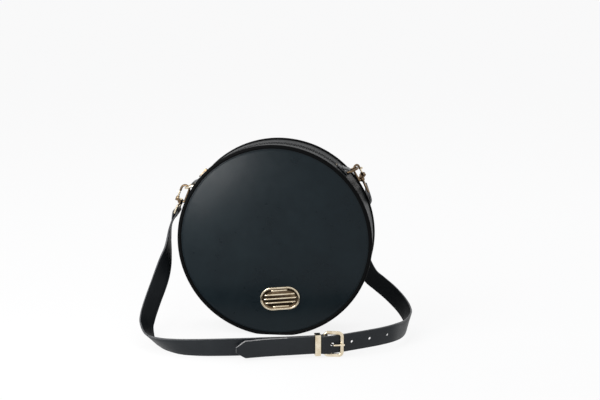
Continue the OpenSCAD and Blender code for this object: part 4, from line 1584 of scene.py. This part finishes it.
@dataclass
class RingTab:
    """A leather tab that wraps the ring bar and is sewn to the side band."""

    shape: BagShape
    hand: Hand
    width: float = 12 * MM
    thickness: float = 1.3 * MM
    start: float = 45.251
    bar_angle: float = 52.3
    bar_r: float = 101.35 * MM
    hole_r: float = 1.4 * MM
    seam_in: float = 1.9 * MM
    stitch: tuple[float, float, float] = (1.9 * MM, 2.7 * MM, 0.24 * MM)

    def build(self) -> None:
        """Builds the tab, which rides on the bag."""
        form = Form(SHELL, EDGE, THREAD)
        t = self.thickness
        low = self.shape.band_r + 0.05 * MM + t / 2
        per_deg = math.radians(1) * self.shape.band_r
        under = np.array([[a, low] for a in np.linspace(self.start, self.bar_angle - 1.6, 9)])
        r = self.hole_r + t / 2
        arc = turned(-90, 90, 14) * r
        wrap = np.stack([self.bar_angle + arc[:, 0] / per_deg, self.bar_r + arc[:, 1]], -1)
        top = np.array([
            [self.bar_angle - 1.2, self.bar_r + r * 0.9],
            [self.bar_angle - 2.6, low + 1.7 * t],
            [self.bar_angle - 3.4, low + 1.12 * t],
            [self.bar_angle - 4.5, low + t],
        ])
        course = smooth_path(np.concatenate([under, wrap, top]), 2)
        path = self.shape.place(self.hand.value * course[:, 0], course[:, 1], np.zeros(len(course)))
        across = np.tile([0, 1.0, 0], (len(path), 1))
        Ribbon(self.width, t, 1.2 * MM, 0.1 * MM).sweep(form, path, across)
        for sign in (-1, 1):
            row = np.linspace(self.start + 0.5, self.bar_angle - 3.2, 10)
            step = [self.bar_angle - 4.6, self.bar_angle - 4.4]
            radius = np.interp(row, step, [low + t / 2, low + 1.5 * t])
            depth = np.full(10, sign * (self.width / 2 - self.seam_in))
            angle = self.hand.value * row
            places = self.shape.place(angle, radius, depth)
            Stitching(*self.stitch).sew(form, places, self.shape.out(angle), 2)
        name = self.hand.name.lower()
        piece = form.build(f"{name}_ring_tab_leather", "shell_leather", 50)
        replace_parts(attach(piece, "bag"), f"{name}_tab")
        log.info("%s tab", name)


# Metal


@dataclass
class Badge:
    """A plain plaque with round ends, a rounded rim and five raised bars."""

    shape: BagShape
    length: float = 41 * MM
    height: float = 24 * MM
    thickness: float = 1.6 * MM
    drop: float = 59 * MM
    back_y: float = 25.65 * MM
    field_share: float = 0.55
    # First ring of the sunken field, which is drawn in painted shade.
    shaded_from: int = 6
    bars: int = 5
    bars_in: float = 3.6 * MM
    bar_half: float = 0.75 * MM
    bar_h: float = 0.8 * MM

    def outline(self, inset: float) -> np.ndarray:
        """The round-ended outline.

        Args:
            inset: How far it is drawn in.

        Returns:
            Points along and across the plaque.
        """
        r = self.height / 2 - inset
        x = (self.length - self.height) / 2
        right = turned(-90, 90, 32) * r + np.array([x, 0])
        left = turned(90, 270, 32) * r + np.array([-x, 0])
        return np.concatenate([right, left])

    def place(self, points: np.ndarray, height: Union[float, np.ndarray]) -> np.ndarray:
        """Puts points of the plaque on the bag.

        Args:
            points: Points along and across the plaque.
            height: How far they stand in front of its back.

        Returns:
            The places.
        """
        x, z = points[..., 0], points[..., 1] - self.drop
        c, s = math.cos(self.shape.roll), math.sin(self.shape.roll)
        y = -self.back_y - np.broadcast_to(height, x.shape)
        return np.stack([x * c - z * s, y, x * s + z * c + self.shape.centre_z], -1)

    def build(self) -> None:
        """Builds the plaque and its bars."""
        form = Form(GOLD, GOLD_SHADED)
        t = self.thickness
        field_t = t * self.field_share
        profile = [
            (0, 0), (0, t - 0.45 * MM), (0.14 * MM, t - 0.16 * MM), (0.45 * MM, t), (1.2 * MM, t),
            (1.55 * MM, t - 0.16 * MM), (1.8 * MM, field_t + 0.1 * MM), (2.1 * MM, field_t),
            (5 * MM, field_t), (9 * MM, field_t),
        ]
        rings = [self.place(self.outline(inset), height) for inset, height in profile]
        m = len(rings[0])
        faces = grid_faces(len(rings), m, False, True)
        # Faces of the sunken field take the shaded gold, painted shade; the rim and bars stay light gold.
        kinds = [int(k // m >= self.shaded_from) for k in range(len(faces))]
        last = (len(rings) - 1) * m
        form.add(np.concatenate(rings), [*faces, range(m), range(last, last + m)], [*kinds, 0, 1])
        reach = self.height / 2 - self.bars_in
        for i in range(self.bars):
            y = (i / (self.bars - 1) - 0.5) * 2 * reach
            end = math.sqrt(reach**2 - y * y)
            self._bar(form, y, (self.length - self.height) / 2 + end, field_t)
        piece = form.build("badge_plaque", "gold_metal", 35)
        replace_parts(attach(piece, "bag"), "badge")
        log.info("badge")

    def _bar(self, form: Form, y: float, half: float, field_t: float) -> None:
        """Adds one raised bar with tapered ends.

        Args:
            form: The plaque's form.
            y: Its place across the plaque.
            half: Half its length.
            field_t: Height of the field that it stands on.
        """
        ends = np.array([0, 0.15, 0.6]) * MM
        x = np.concatenate([ends - half, np.linspace(2 * MM - half, half - 2 * MM, 8), half - ends[::-1]])
        size = np.array([0.12, 0.55, 0.85, *[1.0] * 8, 0.85, 0.55, 0.12])
        arc = turned(0, 180, 8)
        rings = []
        for at, share in zip(x, size):
            points = np.stack([np.full(len(arc), at), y + arc[:, 0] * self.bar_half * share], -1)
            rings.append(self.place(points, field_t - 0.1 * MM + arc[:, 1] * self.bar_h * share))
        form.add_tube(rings)


@dataclass
class BuckleFrame:
    """The buckle's frame, one round bar bent to a rounded oblong."""

    route: Route
    half: float = 11.3 * MM
    corner: float = 3.4 * MM
    broad: float = 1.3
    broadens: tuple[float, float] = (0.5 * MM, 3 * MM)

    def outline(self) -> np.ndarray:
        """Points of the frame's middle line.

        Returns:
            Places along and across the strap.
        """
        r = self.corner
        x, y = self.route.buckle_u - r, self.half - r
        corners = [(x, y, 0), (-x, y, 90), (-x, -y, 180), (x, -y, 270)]
        return np.concatenate([turned(a, a + 90, 8) * r + np.array([x, y]) for x, y, a in corners])

    def build(self) -> None:
        """Bends the bar, flatter on its outer face, and lays it in the buckle's axes."""
        route = self.route
        line = self.outline()
        slope = route.buckle_rise / (2 * route.buckle_u)
        rise = (line[:, 0] + route.buckle_u) * slope
        flat = line[:, :1] * route.u - line[:, 1:] * route.down
        path = np.array(route.buckle_at) + flat + rise[:, None] * route.n
        ahead = unit(np.roll(path, -1, 0) - np.roll(path, 1, 0))
        out = unit(np.cross(route.u + slope * route.n, route.down))
        out = out if out @ route.n > 0 else -out
        across = unit(np.cross(ahead, out))
        ring = turned(0, 337.5, 15) * route.bar_r
        broad = np.interp(line[:, 0] + route.buckle_u, self.broadens, [1, self.broad])
        sideways = across[:, None] * ring[None, :, :1] * broad[:, None, None]
        places = path[:, None] + sideways + out * ring[None, :, 1:]
        form = Form(GOLD)
        form.add(places.reshape(-1, 3), grid_faces(len(path), len(ring), True, True))
        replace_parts(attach(form.build("buckle_bow", "gold_metal", 60), "bag"), "buckle_frame")
        log.info("buckle frame")


@dataclass
class Hardware:
    """The CAD's own metal pieces, which keep their shape and get the plating."""

    bright: tuple[str, ...] = (
        "left_ring", "left_gate", "right_gate", "left_swivel_eye", "buckle_prong", "strap_keeper",
    )
    # The deep group takes the shaded gold: painted shade and dark reflection on plating that is the same
    # light gold.
    deep: tuple[str, ...] = (
        "left_hook", "right_hook", "right_ring", "right_swivel_eye", "zip_slider", "zip_pull",
    )
    satin: tuple[str, ...] = ("left_gate_pin", "right_gate_pin", "zip_stops", "badge_washers")

    def build(self) -> None:
        """Puts the plating on each node, the deep group in the shaded gold of painted shade."""
        for names, finish in ((self.bright, GOLD), (self.deep, GOLD_SHADED), (self.satin, GOLD_SATIN)):
            for name in names:
                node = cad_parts[name]
                node.data.materials.clear()
                node.data.materials.append(finish.material())
                log.info("plated %s", name)


# Studio


@dataclass
class Lamp:
    """One soft lamp that looks at the bag."""

    name: str
    place: tuple[float, float, float]
    power: float
    size: float
    target: tuple[float, float, float] = (0, 0, 0.09)

    def build(self) -> None:
        """Hangs the lamp."""
        data = bpy.data.lights.new(self.name, "AREA")
        data.energy, data.shape, data.size = self.power, "DISK", self.size
        lamp = bpy.data.objects.new(self.name, data)
        lamp.location = self.place
        lamp.rotation_euler = (Vector(self.target) - Vector(self.place)).to_track_quat("-Z", "Y").to_euler()
        bpy.context.scene.collection.objects.link(lamp)


@dataclass
class Studio:
    """Floor, lamps, world and camera."""

    lamps: list[Lamp] = field(default_factory=lambda: [
        Lamp("key", (-0.75, -0.5, 0.95), 4.0, 0.7),
        Lamp("near", (-0.155, -0.276, 0.165), 0.45, 0.12, (-0.08, 0, 0.18)),
        Lamp("top", (0.1, 0.5, 1.4), 3.0, 0.9),
    ])
    camera_place: tuple[float, float, float] = (0.1516, -1.1220, 0.3739)
    camera_turn: tuple[float, float] = (11.83, 6.5)
    lens: float = 67.33
    floor_white: float = 0.85
    floor_colour: Rgb = (0.86, 0.86, 0.86)
    low_sky: Rgb = (0.30, 0.30, 0.31)
    high_sky: Rgb = (0.80, 0.80, 0.82)

    @staticmethod
    def seen(nodes: Nodes) -> Value:
        """One for rays of the camera, a mirror or glass, and zero for the light on the bag.

        Args:
            nodes: The node tree of the floor or the world.

        Returns:
            The mask.
        """
        path = nodes.add("ShaderNodeLightPath")
        kinds = ("Is Camera Ray", "Is Glossy Ray", "Is Transmission Ray")
        camera, gloss, glass = (Value(nodes, path.outputs[kind]) for kind in kinds)
        return camera + gloss + glass

    def floor(self) -> None:
        """A wide white floor that keeps the bag's shadow."""
        places = [(x, y, -0.0002) for x, y in ((-40, -6), (40, -6), (40, 60), (-40, 60))]
        mesh = bpy.data.meshes.new("floor")
        mesh.from_pydata(places, [], [(0, 1, 2, 3)])
        material = bpy.data.materials.new("pale_floor")
        nodes = Nodes(material)
        paint = nodes.add("ShaderNodeBsdfDiffuse", inputs={"Color": self.floor_colour})
        white = nodes.add("ShaderNodeEmission", inputs={"Color": (1, 1, 1), "Strength": 1.0})
        share = self.seen(nodes) * self.floor_white
        both = nodes.add("ShaderNodeMixShader", inputs={0: share, 1: paint.outputs[0], 2: white.outputs[0]})
        nodes.end(both.outputs[0])
        mesh.materials.append(material)
        floor = bpy.data.objects.new("floor", mesh)
        bpy.context.scene.collection.objects.link(floor)

    def world(self) -> None:
        """Soft light from all round, stronger from above, with a white background where it is seen."""
        world = bpy.data.worlds.new("studio")
        bpy.context.scene.world = world
        nodes = Nodes(world)
        place = nodes.add("ShaderNodeTexCoord").outputs["Generated"]
        up = nodes.add("ShaderNodeSeparateXYZ", inputs={"Vector": place})
        height = Value(nodes, up.outputs["Z"]).step(0.05, 0.6)
        soft = nodes.mix(height, self.low_sky, self.high_sky)
        lit = nodes.add("ShaderNodeBackground", inputs={"Color": soft, "Strength": 1.0})
        white = nodes.add("ShaderNodeBackground", inputs={"Color": (1, 1, 1), "Strength": 1.0})
        share = self.seen(nodes)
        both = nodes.add("ShaderNodeMixShader", inputs={0: share, 1: lit.outputs[0], 2: white.outputs[0]})
        nodes.add("ShaderNodeOutputWorld", inputs={"Surface": both.outputs[0]})

    def camera(self) -> None:
        """The photograph's camera."""
        data = bpy.data.cameras.new("camera")
        data.lens, data.sensor_width = self.lens, 36.0
        camera = bpy.data.objects.new("camera", data)
        tilt, heading = self.camera_turn
        camera.location = self.camera_place
        camera.rotation_euler = (math.radians(90 - tilt), 0, math.radians(heading))
        bpy.context.scene.collection.objects.link(camera)
        bpy.context.scene.camera = camera

    def build(self) -> None:
        """Sets up the studio."""
        self.camera()
        self.floor()
        self.world()
        for lamp in self.lamps:
            lamp.build()
        bpy.context.scene.view_settings.view_transform = "Standard"
        log.info("studio: %d lamps", len(self.lamps))


def main() -> None:
    """Builds the bag and its studio."""
    logging.basicConfig(level=logging.INFO, format="%(name)s: %(message)s")
    Studio().build()
    shape = BagShape()
    shell = Shell(shape)
    shell.build()
    Zip(shell).build()
    route = Route()
    Straps(route).build()
    BuckleFrame(route).build()
    for hand in Hand:
        RingTab(shape, hand).build()
    Badge(shape).build()
    Hardware().build()


if __name__ == "__main__":
    main()
